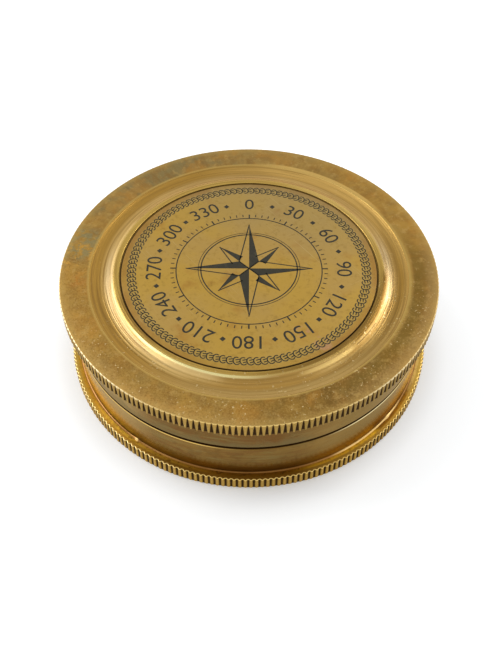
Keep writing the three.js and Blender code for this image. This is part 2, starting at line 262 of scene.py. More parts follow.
def knurl_tree():
    """Presses grooves into a turned rim. Each groove changes its width and depth from high down to low, the
    width soonest where spread is small, and the columns of points draw together or apart to follow its edges.
    Dirt and painted shade fill it from edge below high, and shine is how far the crests are rubbed bright."""
    sizes = "rim high low width_high width_low spread depth_high depth_low crown edge shine grime"
    nodes, given = geometry_tree("knurl", "teeth", sizes)
    x, y, z = nodes.split(nodes.part("InputPosition", "Position"))
    radius = nodes.math("SQRT", x * x + y * y)
    angle = nodes.math("ARCTAN2", y, x)
    tooth = angle * given.teeth / TURN
    side = (tooth - nodes.math("ROUND", tooth)) * 2
    share = nodes.math("ABSOLUTE", side)
    below = given.high - z
    drop = (below / (given.high - given.low)).clamp()
    spread = nodes.math("POWER", drop, given.spread)
    width = given.width_high + (given.width_low - given.width_high) * spread
    cut = nodes.math("GREATER_THAN", below, -LEVEL_TOLERANCE)
    depth = (given.depth_high + (given.depth_low - given.depth_high) * drop) * cut
    in_groove = nodes.math("MINIMUM", share * 2, 1)
    on_crest = nodes.math("MAXIMUM", share * 2 - 1, 0)
    new_share = in_groove * width + on_crest * (1 - width)
    slope = 1 - on_crest
    bowl = 1 - in_groove * in_groove
    near_rim = ((radius - given.rim + 1.0) / 0.5).clamp()
    new_radius = radius - (depth * bowl + given.crown * slope * slope * cut) * near_rim
    half_tooth = (TURN / 2) / given.teeth
    new_angle = angle + (nodes.math("SIGN", side) * new_share - side) * half_tooth
    new_x = new_radius * nodes.math("COSINE", new_angle)
    new_y = new_radius * nodes.math("SINE", new_angle)
    old_wear = nodes.part("InputNamedAttribute", "Attribute", {"data_type": "FLOAT"}, Name="wear")
    # The grooves darken down from their top edge: dirt and painted shade.
    change = on_crest * given.shine - (1 - in_groove) * given.grime * (below / given.edge).clamp()
    new_wear = old_wear + change * cut * near_rim
    kept = {"data_type": "FLOAT", "domain": "POINT"}
    worn = nodes.part(
        "StoreNamedAttribute", "Geometry", kept, Geometry=given.geometry, Name="wear", Value=new_wear
    )
    pressed = nodes.part("SetPosition", Geometry=worn, Position=nodes.join(new_x, new_y, z))
    return close_tree(nodes, pressed, given)


def thread_tree():
    """Raises a right-hand screw thread on a turned wall between low and high; it fades out at both ends."""
    nodes, given = geometry_tree("thread", "", "wall low high pitch height")
    x, y, z = nodes.split(nodes.part("InputPosition", "Position"))
    radius = nodes.math("SQRT", x * x + y * y)
    angle = nodes.math("ARCTAN2", y, x)
    phase = nodes.math("FRACT", z / given.pitch - angle / TURN + 1)
    ridge = nodes.math("ABSOLUTE", phase * 2 - 1).between(0.2, 0.8)
    fade = given.pitch * 0.4
    ends = z.band(given.low, given.low + fade, given.high - fade, given.high)
    near = nodes.math("COMPARE", radius, given.wall, given.height)
    scale = (radius + (ridge - 0.5) * given.height * ends * near) / radius
    cut = nodes.part("SetPosition", Geometry=given.geometry, Position=nodes.join(x * scale, y * scale, z))
    return close_tree(nodes, cut, given)


def set_round(nodes, given, shape, bearing, **more):
    """Sets a shape on each point of a circle, raises them to their level and closes the tree."""
    ring = nodes.part("MeshCircle", "Mesh", Vertices=given.count, Radius=given.radius)
    turn = nodes.join(0, 0, bearing)
    shapes = nodes.part("InstanceOnPoints", "Instances", Points=ring, Instance=shape, Rotation=turn, **more)
    raised = nodes.part("Transform", Geometry=shapes, Translation=nodes.join(0, 0, given.level))
    return close_tree(nodes, raised, given)


def rope_tree():
    """A ring of leaning links, each an open loop with two short bars inside, drawn in flat ink lines."""
    sizes = "radius link_height link_width line_width ink level lean"
    nodes, given = geometry_tree("rope_border", "count", sizes)
    line = nodes.part("CurvePrimitiveQuadrilateral", "Curve", Width=given.line_width, Height=given.ink)
    start = math.radians(138)
    sweep = math.radians(264)
    loop = nodes.part("CurveArc", "Curve", Resolution=11, Radius=0.5, Start_Angle=start, Sweep_Angle=sweep)
    link_size = nodes.join(given.link_height, given.link_width, 1)
    strokes = [nodes.part("Transform", Geometry=loop, Scale=link_size)]
    for offset in (-0.15, 0.17):
        across = given.link_height * offset
        inside = nodes.join(across, given.link_width * -0.12, 0)
        outside = nodes.join(across, given.link_width * 0.5, 0)
        strokes.append(nodes.part("CurvePrimitiveLine", "Curve", Start=inside, End=outside))
    joined = nodes.add("GeometryNodeJoinGeometry")
    for stroke in reversed(strokes):
        nodes.tree.links.new(stroke.socket, joined.inputs[0])
    drawn = Wire(nodes, joined.outputs[0])
    upright = nodes.part("SetCurveNormal", "Curve", {"mode": "Z_UP"}, Curve=drawn)
    link = nodes.part("CurveToMesh", "Mesh", Curve=upright, Profile_Curve=line, Fill_Caps=True)
    bearing = nodes.part("InputIndex", "Index") * TURN / given.count + given.lean
    return set_round(nodes, given, link, bearing)


def tick_tree():
    """Marks round a circle: the first of each group is longer and bolder."""
    nodes, given = geometry_tree("scale_ticks", "count group", "radius short long line_width ink level")
    bar = nodes.part("MeshCube", "Mesh", Size=(1, 1, 1))
    inward = nodes.part("Transform", Geometry=bar, Translation=(-0.5, 0, 0))
    index = nodes.part("InputIndex", "Index")
    is_long = nodes.math("LESS_THAN", nodes.math("FLOORED_MODULO", index, given.group), 0.5)
    length = given.short + (given.long - given.short) * is_long
    size = nodes.join(length, given.line_width * (1 + is_long * 0.5), given.ink)
    return set_round(nodes, given, inward, index * TURN / given.count, Scale=size)


# Meshes

def at(radius, angle):
    return (radius * math.cos(angle), radius * math.sin(angle))


def rounded(corners):
    """Points (radius, height, wear) of an outline. A corner is (radius, height), or has its rounding and
    wear too: wear is 1 on an edge rubbed bright and -1 in a corner darkened by dirt and painted shade."""
    points = []
    for i, corner in enumerate(corners):
        radius, height, rounding, wear = (*corner, 0, 0)[:4]
        if rounding == 0:
            points.append((radius, height, wear))
            continue
        tip = Vector((radius, height))
        before = Vector(corners[i - 1][:2])
        after = Vector(corners[(i + 1) % len(corners)][:2])
        start = tip + (before - tip).normalized() * rounding
        end = tip + (after - tip).normalized() * rounding
        for k in range(EASE_STEPS + 1):
            t = k / EASE_STEPS
            point = start * (1 - t) ** 2 + tip * 2 * t * (1 - t) + end * t**2
            points.append((point.x, point.y, wear * 4 * t * (1 - t)))
    return points


def part_of(ring, k, parts):
    """The k-th of equal stretches of a ring of point numbers, with both its ends."""
    if len(ring) == 1:
        return list(ring)
    step = len(ring) // parts
    return [ring[i % len(ring)] for i in range(k * step, (k + 1) * step + 1)]


def skin(rings, closed):
    """A mesh over rings (radius, height, wear, points) round the axis, listed anticlockwise in section with
    the metal on their left. Neighbouring rings have as many points, or a whole multiple of that."""
    points = []
    wear = []
    loops = []
    for radius, height, worn, count in rings:
        count = count if radius > 0 else 1
        loops.append(range(len(points), len(points) + count))
        points += [(*at(radius, TURN * i / count), height) for i in range(count)]
        wear += [worn] * count
    faces = []
    for lower, upper in zip(loops, loops[1:] + loops[:1] if closed else loops[1:]):
        parts = min(len(ring) for ring in (lower, upper) if len(ring) > 1)
        for k in range(parts):
            faces.append(part_of(lower, k, parts) + part_of(upper, k, parts)[::-1])
    mesh = bpy.data.meshes.new("skin")
    mesh.from_pydata(points, [], faces)
    mesh.attributes.new("wear", "FLOAT", "POINT").data.foreach_set("value", wear)
    return mesh


def turned(corners, closed=True, steps=ROUND_STEPS):
    """A turned mesh of an outline of corners, closed on itself or with both ends on the axis."""
    return skin([(*point, steps) for point in rounded(corners)], closed)


def steps_between(start, end, count):
    """Evenly spaced corners from start to end, both left out."""
    start = Vector(start)
    end = Vector(end)
    return [tuple(start.lerp(end, k / count)) for k in range(1, count)]


def bands_between(shape, layers):
    """Faces between neighbouring layers of points, and from the last to the first."""
    for lower, upper in zip(layers, layers[1:] + layers[:1]):
        for i in range(len(lower)):
            shape.faces.new((lower[i - 1], lower[i], upper[i], upper[i - 1]))


def made_of(shape):
    """The mesh of a finished shape."""
    mesh = bpy.data.meshes.new("shape")
    shape.to_mesh(mesh)
    shape.free()
    return mesh


def piece(name, mesh, material, body, slot, *nodes):
    """An object for a finished mesh: it takes the material, rides on a body and hides the CAD nodes it stands
    for.
    The slot is not used.
    """
    mesh.name = name
    mesh.transform(Matrix.Scale(MM, 4))
    mesh.materials.clear()
    mesh.materials.append(material)
    mesh.shade_smooth()
    mesh.set_sharp_from_angle(angle=SMOOTH_ANGLE)
    made = linked(name, mesh)
    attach(made, body)
    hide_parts(*nodes)


# Finishes

def tint(*shown):
    """A colour written as it shows on a screen, from 0 to 255."""
    shares = [value / 255 for value in shown]
    straight = [share / 12.92 if share <= 0.04045 else ((share + 0.055) / 1.055) ** 2.4 for share in shares]
    return (*straight, 1.0)


class Coat:
    """A colour that others are laid over, one after the other."""

    def __init__(self, nodes, *shown):
        self.nodes = nodes
        self.colour = tint(*shown)

    def lay(self, share, *shown):
        """Lays another coat, or a colour as tint takes it, over this one by a share."""
        over = shown[0].colour if isinstance(shown[0], Coat) else tint(*shown)
        self.colour = self.nodes.mix(share, self.colour, over)


class Finish(Nodes):
    """A Principled material and the patterns that worn metal, card and ink share."""

    def __init__(self, name, **sockets):
        self.material = bpy.data.materials.new(name)
        self.material.use_nodes = True
        super().__init__(self.material.node_tree)
        self.shader = self.tree.nodes["Principled BSDF"]
        for socket, value in sockets.items():
            self.shader.inputs[socket.replace("_", " ")].default_value = value
        metres = self.wire("ShaderNodeTexCoord", "Object")
        self.place = self.wire("ShaderNodeVectorMath", 0, {0: metres, 3: 1 / MM}, operation="SCALE")
        self.x, self.y, self.z = self.split(self.place)
        self.radius = self.math("SQRT", self.x * self.x + self.y * self.y)

    def coat(self, *shown):
        return Coat(self, *shown)

    def noise(self, size, detail, roughness, seed, place=None):
        """A cloudy pattern from 0 to 1 with patches of about that size."""
        inputs = {"Vector": place or self.place, "W": seed if place else seed / MM, "Scale": 1 / size}
        inputs.update({"Detail": detail, "Roughness": roughness})
        return self.wire("ShaderNodeTexNoise", 0, inputs, noise_dimensions="4D")

    def lines(self, along, spacing, detail, seed):
        """Uneven lines across the direction in which the value along grows."""
        waver = self.noise(8, 1.0, 0.5, seed) * 0.6
        inputs = {"W": along / spacing + waver + seed, "Scale": 1.0, "Detail": detail, "Roughness": 0.6}
        return self.wire("ShaderNodeTexNoise", 0, inputs, noise_dimensions="1D")

    def streaks(self, around, outward, seed):
        """Streaks of one length round the axis, as at the rim, and another outward from it."""
        fine = rim_radius / around
        place = self.join(self.x / self.radius * fine, self.y / self.radius * fine, self.radius / outward)
        return self.noise(1.0, 3.0, 0.6, seed, place)

    def scratches(self, bearing, length, width, seed):
        """Thin marks that run one way, from 0 to 1."""
        turn = {"Vector": self.place, "Rotation": (0, 0, bearing)}
        x, y, z = self.split(self.wire("ShaderNodeMapping", 0, turn))
        stretched = self.join(x / length, y / width, z / length)
        return self.noise(1.0, 1.0, 0.5, seed, stretched).between(0.66, 0.74)

    def wear(self):
        """How far edges are rubbed bright, and how far corners are darkened by dirt and painted shade."""
        value = self.wire("ShaderNodeAttribute", "Fac", attribute_name="wear")
        return value.clamp(), (value * -1).clamp()

    def ring(self, low, high, start=0.0, end=1.0):
        """A smooth step outward from one radius to another."""
        return self.radius.between(low, high, start, end)

    def toward(self, degrees, low, high, start=0.0, end=1.0):
        """A smooth step toward a bearing, by the cosine of the angle from it."""
        x, y = at(1, math.radians(degrees))
        return ((self.x * x + self.y * y) / self.radius).between(low, high, start, end)

    def near(self, degrees, distance, size):
        """1 at a place given by bearing and distance from the axis, fading to 0 at that size from it."""
        x, y = at(distance, math.radians(degrees))
        across = self.x - x
        along = self.y - y
        return self.math("SQRT", across * across + along * along).between(0, size, 1, 0)

    def close(self, coat, roughness, height=None):
        """Ends the material; height is the relief's, in metres."""
        self.feed(self.shader.inputs["Base Color"], coat.colour)
        self.feed(self.shader.inputs["Roughness"], roughness)
        if height is not None:
            bump = self.wire("ShaderNodeBump", "Normal", {"Height": height, "Distance": 1.0, "Strength": 1.0})
            self.feed(self.shader.inputs["Normal"], bump)
        return self.material


# Colour that old brass keeps where it is seen at a shallow angle
BRASS_EDGE = tint(254, 245, 230)
WALL_EDGE = tint(252, 239, 214)

# Painted highlights and painted shade in the cove: bearing, cosines where it starts and is full, inner and
# outer radius, share and colour
COVE_PAINTED_LIGHT = (
    (247, 0.8, 1.0, 27.1, 27.6, 1.0, 255, 240, 170),
    (288, 0.94, 0.99, 27.0, 27.4, 0.4, 225, 190, 115),
    (243, 0.94, 0.99, 27.5, 28.5, 0.6, 240, 206, 138),
    (302, 0.97, 0.995, 27.7, 28.4, 0.7, 244, 208, 128),
    (166, 0.94, 0.99, 27.3, 27.9, 0.6, 250, 214, 138),
    (105, 0.88, 0.98, 28.0, 30.4, 0.25, 140, 108, 54),
    (58, 0.85, 0.98, 31.8, 32.9, 0.7, 226, 188, 108),
)


def lid_finish():
    """Satin brass: a mottled rim with olive patches and a copper-coloured stain, a brighter turned cove and
    rubbed edges. The cove carries painted highlights and painted shade, and the rim's top edge a painted
    highlight."""
    f = Finish("lid_rim_brass", Metallic=1.0, Specular_Tint=BRASS_EDGE)
    worn, grime = f.wear()
    clouds = f.noise(9, 5.0, 0.6, 1.3)
    blotches = f.noise(2.6, 6.0, 0.65, 7.1)
    grain = f.noise(0.32, 4.0, 0.65, 3.4)
    grainy = f.toward(255, -0.4, 0.5, 0.25, 1.2)
    metal = lid_rim_coat(f, clouds, blotches, grain, grainy)

    turning = f.streaks(30, 0.4, 2.2)
    fine_turning = f.streaks(16, 0.14, 5.5)
    ringed = f.toward(270, 0.5, 0.95, 1.0, 0.75) + f.toward(203, 0.75, 0.97) * 0.6
    ringed = ringed + f.toward(328, 0.85, 0.98) * 0.5
    # Painted shade on the cove's inner lip at the right; the rubbed edges' colour is kept off it.
    lip_painted_shade = f.radius.band(26.9, 27.0, 27.4, 27.8) * f.toward(337, 0.9, 0.96)
    cove = lid_cove_coat(f)
    cove.lay(lip_painted_shade, 104, 77, 31)
    cove.lay(turning.between(0.46, 0.62) * ringed * 0.5, 150, 114, 56)
    cove.lay(fine_turning.between(0.5, 0.7) * 0.35, 138, 104, 50)
    scratch = f.radius.band(27.95, 28.0, 28.1, 28.15) * f.toward(323, 0.992, 0.994)
    cove.lay(scratch * 0.8, 92, 70, 38)
    in_cove = f.ring(COVE_OUTER - 0.25, COVE_OUTER + 0.05, 1, 0)
    metal.lay(in_cove, cove)
    # A darker line round the plaque towards the left: painted shade, with some dirt.
    gap_painted_shade = f.ring(plaque_radius + 0.1, plaque_radius + 0.2, 1, 0)
    metal.lay(gap_painted_shade * f.toward(195, 0.6, 0.95) * 0.8, 72, 60, 48)

    clumps = f.noise(5, 2.0, 0.5, 4.2).between(0.36, 0.56)
    flecks = f.noise(0.45, 2.0, 0.6, 9.7).between(0.63, 0.7) * clumps
    metal.lay(flecks * f.toward(280, 0.0, 0.7, 0.15, 1.0) * 0.85, 232, 208, 152)
    pits = f.noise(0.5, 1.0, 0.5, 9.9).between(0.72, 0.78)
    metal.lay(pits * 0.4, 84, 64, 34)
    side = f.z.between(lid_top - 0.5, lid_top - 0.25, 0.6, 0) * f.ring(rim_radius - 0.8, rim_radius - 0.6)
    metal.lay(side, 164, 134, 60)
    metal.lay(side * f.toward(312, 0.85, 0.99) * 0.6, 124, 98, 48)
    rubbed = worn * grain.between(0.3, 0.5, 0.7, 1.0) * (1 - lip_painted_shade)
    # The rubbed edges' colour: worn brass, with a painted cream highlight along the rim's top edge, yellower
    # at the front and duller at the right.
    rim_edge_wear_and_glint = f.coat(240, 224, 180)
    rim_edge_wear_and_glint.lay(f.toward(272, 0.7, 0.97), 230, 198, 122)
    rim_edge_wear_and_glint.lay(f.toward(345, 0.85, 0.98) * 0.7, 190, 164, 108)
    edge = f.coat(216, 180, 100)
    edge.lay(f.ring(36, 37), rim_edge_wear_and_glint)
    metal.lay(rubbed, edge)
    # Painted highlights and painted shade at the listed bearings in the cove.
    for bearing, start, full, inner, outer, share, *shown in COVE_PAINTED_LIGHT:
        painted_band = f.radius.band(inner - 0.1, inner + 0.1, outer - 0.15, outer + 0.15)
        metal.lay(painted_band * f.toward(bearing, start, full) * share, *shown)
    # Dirt and painted shade in the grooves, the plaque's recess and the corners.
    metal.lay(grime, 54, 34, 13)
    roughness = 0.42 - in_cove * 0.12 - rubbed * 0.16 + (clouds - 0.5) * 0.14 + (blotches - 0.5) * 0.12
    roughness = roughness + grime * 0.3 - f.toward(352, 0.85, 0.98) * in_cove * 0.08
    ground = (grain - 0.5) * 1e-5 * (1 - in_cove) - pits * 4e-6
    height = ((turning - 0.5) * ringed * 5e-5 + (fine_turning - 0.5) * 2.4e-5) * in_cove + ground
    return f.close(metal, roughness, height)


def lid_rim_coat(f, clouds, blotches, grain, grainy):
    rim = f.coat(182, 142, 68)
    rim.lay(clouds.between(0.38, 0.62), 163, 126, 60)
    rim.lay(clouds.between(0.42, 0.56) * f.toward(135, 0.5, 0.95, 0.1, 0.9), 138, 122, 78)
    rim.lay(f.toward(112, 0.5, 0.95) * 0.35, 152, 136, 92)
    patches = f.noise(4, 5.0, 0.6, 5.8).between(0.26, 0.64, 0.4, 0.85)
    rim.lay(patches * f.toward(322, 0.4, 0.92, 0.1, 1.05), 114, 86, 40)
    rim.lay(blotches.between(0.46, 0.6) * 0.48, 146, 106, 50)
    warm = f.noise(6, 5.0, 0.6, 4.9)
    rim.lay(warm.between(0.5, 0.62) * 0.5, 186, 136, 60)
    rim.lay(warm.between(0.36, 0.48, 1, 0) * 0.35, 150, 127, 74)
    rim.lay(f.noise(1.5, 5.0, 0.6, 2.7).between(0.34, 0.48, 1, 0) * 0.45, 195, 161, 94)
    green = f.noise(1.5, 5.0, 0.6, 6.3).between(0.44, 0.54)
    rim.lay(green * f.near(169, 35.2, 7).between(0.0, 0.6) * 0.75, 142, 134, 94)
    veins = f.noise(1.6, 5.0, 0.65, 8.3).between(0.5, 0.58)
    rim.lay(veins * f.near(176, 35.4, 7).between(0.0, 0.6) * 0.9, 206, 156, 70)
    copper = f.noise(1.4, 5.0, 0.65, 8.8).between(0.4, 0.54)
    rim.lay(copper * f.near(186, 34.2, 3) * 0.8, 182, 122, 52)
    streaked = clouds.between(0.36, 0.6, 0.12, 0.5) * (1 - grainy * 0.8)
    rim.lay(f.streaks(0.8, 9, 6.6).between(0.44, 0.62) * streaked, 134, 104, 54)
    rim.lay(f.ring(36.2, 37.6) * 0.4, 196, 162, 92)
    right = f.toward(336, 0.7, 0.97)
    rim.lay(f.ring(32.6, 33.6, 0.1, 1.0) * f.ring(33.8, 36.2, 0.6, 0.0) * right, 120, 94, 38)
    rim.lay(f.ring(32.5, 33.3, 0.5, 0.0) * f.toward(352, 0.8, 0.97), 192, 156, 82)
    rim.lay(f.ring(35, 36.4, 0.0, 0.5) * right, 164, 133, 80)
    rim.lay(f.toward(236, 0.6, 0.96) * f.ring(34.4, 37) * 0.2, 208, 170, 104)
    rim.lay(grain.between(0.5, 0.64) * grainy * 0.35, 118, 88, 42)
    rim.lay(grain.between(0.38, 0.48, 1, 0) * grainy * 0.25, 192, 155, 88)
    return rim


def lid_cove_coat(f):
    """The cove's brass and, inside it, the flat land round the plaque. Lighter and darker stretches of the
    cove at given bearings are painted highlights and painted shade; the land is lighter and darker by bearing
    too.
    """
    cove = f.coat(206, 170, 102)
    cove.lay(f.ring(28.8, 30.4), 184, 142, 66)
    outer = f.ring(29.4, 30.4)
    # Painted light: the outer flank lighter at the back-right and the front, the inner flank darker at the
    # front.
    cove.lay(f.toward(55, 0.5, 0.98) * outer * 0.8, 226, 184, 104)
    cove.lay(f.toward(277, 0.9, 0.99) * (1 - outer) * 0.6, 178, 134, 58)
    cove.lay(f.toward(285, 0.4, 1.0) * outer * 0.6, 190, 162, 104)
    # Paler where the lamps' highlights fall, at the left and the right: painted highlight.
    bright = f.toward(206, 0.7, 0.97) + f.toward(349, 0.8, 0.97)
    cove.lay(bright * f.ring(28.2, 29.6, 0.7, 0.0), 200, 178, 138)
    # Painted shade on the outer flank at the right, and a painted highlight beyond it.
    cove.lay(f.toward(352, 0.85, 0.98) * f.radius.band(28.4, 28.9, 29.6, 30.4) * 0.25, 146, 108, 56)
    cove.lay(f.toward(350, 0.85, 0.98) * f.ring(30.8, 31.4) * 0.3, 216, 180, 110)
    # Painted shade over the highlights at the front-left and the right, then a painted highlight band at the
    # front-left.
    painted_dimming = f.toward(224, 0.94, 0.99) * f.ring(28.6, 29.2, 1, 0)
    painted_dimming = painted_dimming + f.toward(324, 0.92, 0.99) * f.ring(29.2, 29.7, 2.3, 0.6)
    cove.lay(painted_dimming * 0.35, 160, 128, 70)
    cove.lay(f.toward(232, 0.94, 0.99) * f.radius.band(28.7, 29.1, 29.7, 30.2) * 0.6, 232, 196, 124)
    land = f.coat(204, 168, 85)
    land.lay(f.toward(315, 0.6, 1.0) * 0.9, 132, 101, 47)
    land.lay(f.toward(42, 0.8, 1.0) * 0.6, 228, 194, 114)
    land.lay(f.toward(213, 0.94, 0.98) * 0.6, 164, 128, 60)
    cove.lay(f.ring(27.1, 27.4, 1, 0), land)
    return cove


def base_finish():
    """The base's rim: the same brass, warmer and with less stain. Lighter and darker stretches at given
    bearings are painted reflections and painted shade, and the cream on the tooth tops at the left is a
    painted highlight.
    """
    f = Finish("base_rim_brass", Metallic=1.0, Specular_Tint=BRASS_EDGE)
    worn, grime = f.wear()
    clouds = f.noise(8, 5.0, 0.6, 11.3)
    grain = f.noise(0.6, 3.0, 0.6, 13.4)
    turning = f.lines(f.radius, 0.35, 3.0, 12.2)
    metal = f.coat(212, 162, 56)
    metal.lay(clouds.between(0.38, 0.66), 192, 144, 46)
    # Painted reflections: the flange lighter at the front-left and the right-front, darker beyond that,
    # lighter again at the right.
    metal.lay(f.toward(237, 0.9, 0.99), 255, 212, 84)
    right_front_painted_sheen = f.toward(303, 0.93, 0.98)
    metal.lay(right_front_painted_sheen, 255, 206, 64)
    metal.lay(f.toward(326, 0.97, 0.985), 150, 104, 28)
    metal.lay(f.toward(344, 0.97, 0.995) * 0.6, 238, 202, 120)
    spots = f.noise(0.9, 4.0, 0.6, 14.6).between(0.52, 0.6) * f.toward(285, 0.3, 0.9, 0.2, 0.7)
    metal.lay(spots * f.toward(304, 0.93, 0.98, 1.0, 0.5), 128, 88, 34)
    metal.lay(grain.between(0.5, 0.72) * 0.4, 124, 90, 36)
    metal.lay(f.ring(36.9, 37.3), 190, 152, 66)
    metal.lay(f.ring(37.2, 37.5) * f.toward(320, 0.94, 0.99) * 0.4, 140, 104, 38)
    rubbed = worn * grain.between(0.2, 0.5, 0.6, 1.0)
    # The rubbed tooth tops: worn brass, with a painted cream highlight at the left.
    edge = f.coat(238, 206, 130)
    edge.lay(f.toward(205, 0.55, 0.95), 250, 226, 162)
    metal.lay(rubbed, edge)
    # Dirt and painted shade in the grooves and corners.
    metal.lay(grime, 58, 38, 16)
    roughness = 0.32 - rubbed * 0.16 + (clouds - 0.5) * 0.2 + grime * 0.3
    roughness = roughness + f.toward(304, 0.93, 0.98) * 0.15
    return f.close(metal, roughness, (turning - 0.5) * 2.5e-6 + (grain - 0.5) * 5e-6)


def wall_finish(name, seed, brown, olive, low, stain):
    """Brown antique brass tube, drawn round the axis, with a stain rising from its foot and a bright rubbed
    edge.
    Lighter and darker stretches at given bearings, a dark band under the seam at the front and a cream glint
    on the edge are painted light and shade.
    """
    f = Finish(name, Metallic=1.0, Specular_Tint=WALL_EDGE)
    worn, grime = f.wear()
    clouds = f.noise(10, 4.0, 0.6, seed)
    grain = f.noise(0.8, 3.0, 0.6, seed + 2)
    drawn = f.lines(f.z, 0.3, 3.0, seed + 4)
    metal = f.coat(*brown)
    metal.lay(clouds.between(0.4, 0.66), *olive)
    metal.lay(drawn.between(0.4, 0.75) * 0.35, 96, 70, 36)
    metal.lay(f.noise(2.4, 5.0, 0.65, seed + 3).between(0.5, 0.62) * 0.5, 104, 72, 32)
    bands = f.noise(1.0, 4.0, 0.6, seed + 5, f.join(f.x / 7, f.y / 7, f.z / 0.9))
    metal.lay(bands.between(0.5, 0.62) * 0.5, 112, 72, 36)
    metal.lay(bands.between(0.38, 0.48, 1, 0) * 0.5, 132, 115, 70)
    rise = clouds.between(0.3, 0.7, 1.0, 3.5)
    # The stain rising from the foot is weaker at the left and at the right-front, where light falls: painted
    # light.
    stain_with_painted_light = ((low + rise - f.z) / 1.5).clamp() * f.toward(222, 0.6, 1.0, 0.85, 0.7)
    stain_with_painted_light = stain_with_painted_light * f.toward(310, 0.93, 0.99, 1.0, 0.3)
    metal.lay(stain_with_painted_light, *stain)
    metal.lay(f.noise(0.5, 1.0, 0.5, seed + 6).between(0.74, 0.8) * 0.5, 196, 160, 104)
    smudges = f.noise(0.5, 3.0, 0.6, seed + 8).between(0.56, 0.62)
    smudges = smudges * f.near(310, wall_radius, 2.4).between(0.2, 0.6)
    metal.lay(smudges * f.z.band(low + 4.8, low + 5.2, low + 6, low + 6.4) * 0.7, 62, 46, 24)
    # Painted light: lighter at the left and the right-front, darker at the right.
    metal.lay(f.toward(212, 0.85, 0.98) * (1 - stain_with_painted_light) * 0.5, 186, 158, 104)
    metal.lay(f.toward(308, 0.9, 0.99) * 0.6, 154, 124, 67)
    metal.lay(f.toward(328, 0.8, 0.97) * 0.5, 122, 98, 48)
    # Painted shade: the case's foot darker at the front-left.
    foot_painted_shade = f.z.between(wall_foot + 2, wall_foot + 4, 0.9, 0.0)
    metal.lay(foot_painted_shade * f.toward(220, 0.93, 0.99), 66, 49, 22)
    # Painted shade: a darker band under the seam at the front, where the rubbed edge is dimmed too.
    front = f.toward(280, 0.9, 0.985)
    near_seam = f.z.band(wall_top - 0.9, wall_top - 0.5, wall_top, wall_top + 0.1)
    metal.lay(near_seam * front * 0.5, 88, 64, 26)
    # Painted sheen: the low wall lighter at the right-front.
    low_right_painted_sheen = f.z.between(wall_foot + 3, wall_foot + 4.5, 0.4, 0.0) * f.toward(308, 0.94, 0.99)
    metal.lay(low_right_painted_sheen, 176, 134, 66)
    worn = worn * (1.2 - front * 1.15)
    # The rubbed edge: worn brass, with a painted cream highlight at the right-front.
    edge = f.coat(236, 196, 110)
    edge.lay(f.toward(307, 0.93, 0.99), 255, 240, 188)
    metal.lay(worn.clamp(), edge)
    # Dirt and painted shade in the corners and the seam's recess.
    metal.lay(grime, 34, 18, 4)
    roughness = 0.24 + (clouds - 0.5) * 0.16 - worn * 0.05 + stain_with_painted_light * 0.1 + grime * 0.3
    return f.close(metal, roughness, (drawn - 0.5) * 2.5e-6 + (grain - 0.5) * 4e-6)


def plaque_finish():
    """Satin plaque brass, yellow with tan clouds and faint pale scratches, warmer and darker near its edge
    except at the front.
    """
    f = Finish("plaque_brass", Metallic=1.0, Specular_Tint=BRASS_EDGE)
    grime = f.wear()[1]
    clouds = f.noise(11, 4.0, 0.55, 21.3)
    warm = f.noise(7, 5.0, 0.6, 23.1)
    grain = f.noise(0.9, 3.0, 0.6, 22.4)
    marks = f.scratches(0.9, 9, 0.16, 31.0) + f.scratches(-0.5, 7, 0.14, 37.0)
    metal = f.coat(196, 158, 74)
    metal.lay(clouds.between(0.36, 0.66), 186, 152, 84)
    metal.lay(warm.between(0.54, 0.72) * 0.6, 172, 124, 58)
    edge = f.ring(plaque_radius - 3.5, plaque_radius) * warm.between(0.35, 0.6, 0.5, 1.0)
    metal.lay(edge * f.toward(270, 0.8, 0.98, 0.8, 0.35), 156, 114, 58)
    metal.lay(f.radius.band(22.6, 22.9, 24.5, 24.8) * 0.5, 182, 154, 86)
    metal.lay(f.toward(70, 0.3, 0.95) * f.ring(6, 18) * 0.35, 160, 144, 106)
    metal.lay(grain.between(0.5, 0.75) * 0.4, 146, 114, 52)
    metal.lay(marks.clamp() * clouds.between(0.4, 0.55) * 0.35, 214, 190, 130)
    scuffs = (f.near(301, 19.3, 2.4) + f.near(306, 23.8, 2.6)).between(0.0, 0.5)
    metal.lay(scuffs * f.noise(1.1, 4.0, 0.6, 27.5).between(0.46, 0.6) * 0.6, 192, 146, 112)
    # Dirt and painted shade at the plaque's rim.
    metal.lay(grime, 58, 50, 36)
    roughness = 0.4 + (clouds - 0.5) * 0.2 - marks.clamp() * 0.08 + grime * 0.2
    return f.close(metal, roughness, (grain - 0.5) * 3.5e-6 - marks * 1e-6)


def inner_finish():
    """Cleaner yellow brass of the pieces inside the box, with turning lines."""
    f = Finish("inner_brass", Metallic=1.0)
    worn, grime = f.wear()
    clouds = f.noise(7, 4.0, 0.6, 41.0)
    turning = f.lines(f.radius + f.z, 0.25, 3.0, 42.0)
    metal = f.coat(190, 150, 74)
    metal.lay(clouds.between(0.38, 0.66), 172, 132, 62)
    metal.lay(turning.between(0.45, 0.75) * 0.3, 146, 108, 48)
    metal.lay(worn, 222, 188, 110)
    # Dirt and painted shade in the corners.
    metal.lay(grime, 60, 42, 20)
    return f.close(metal, 0.3 + (clouds - 0.5) * 0.2 + grime * 0.3, (turning - 0.5) * 2.5e-6)


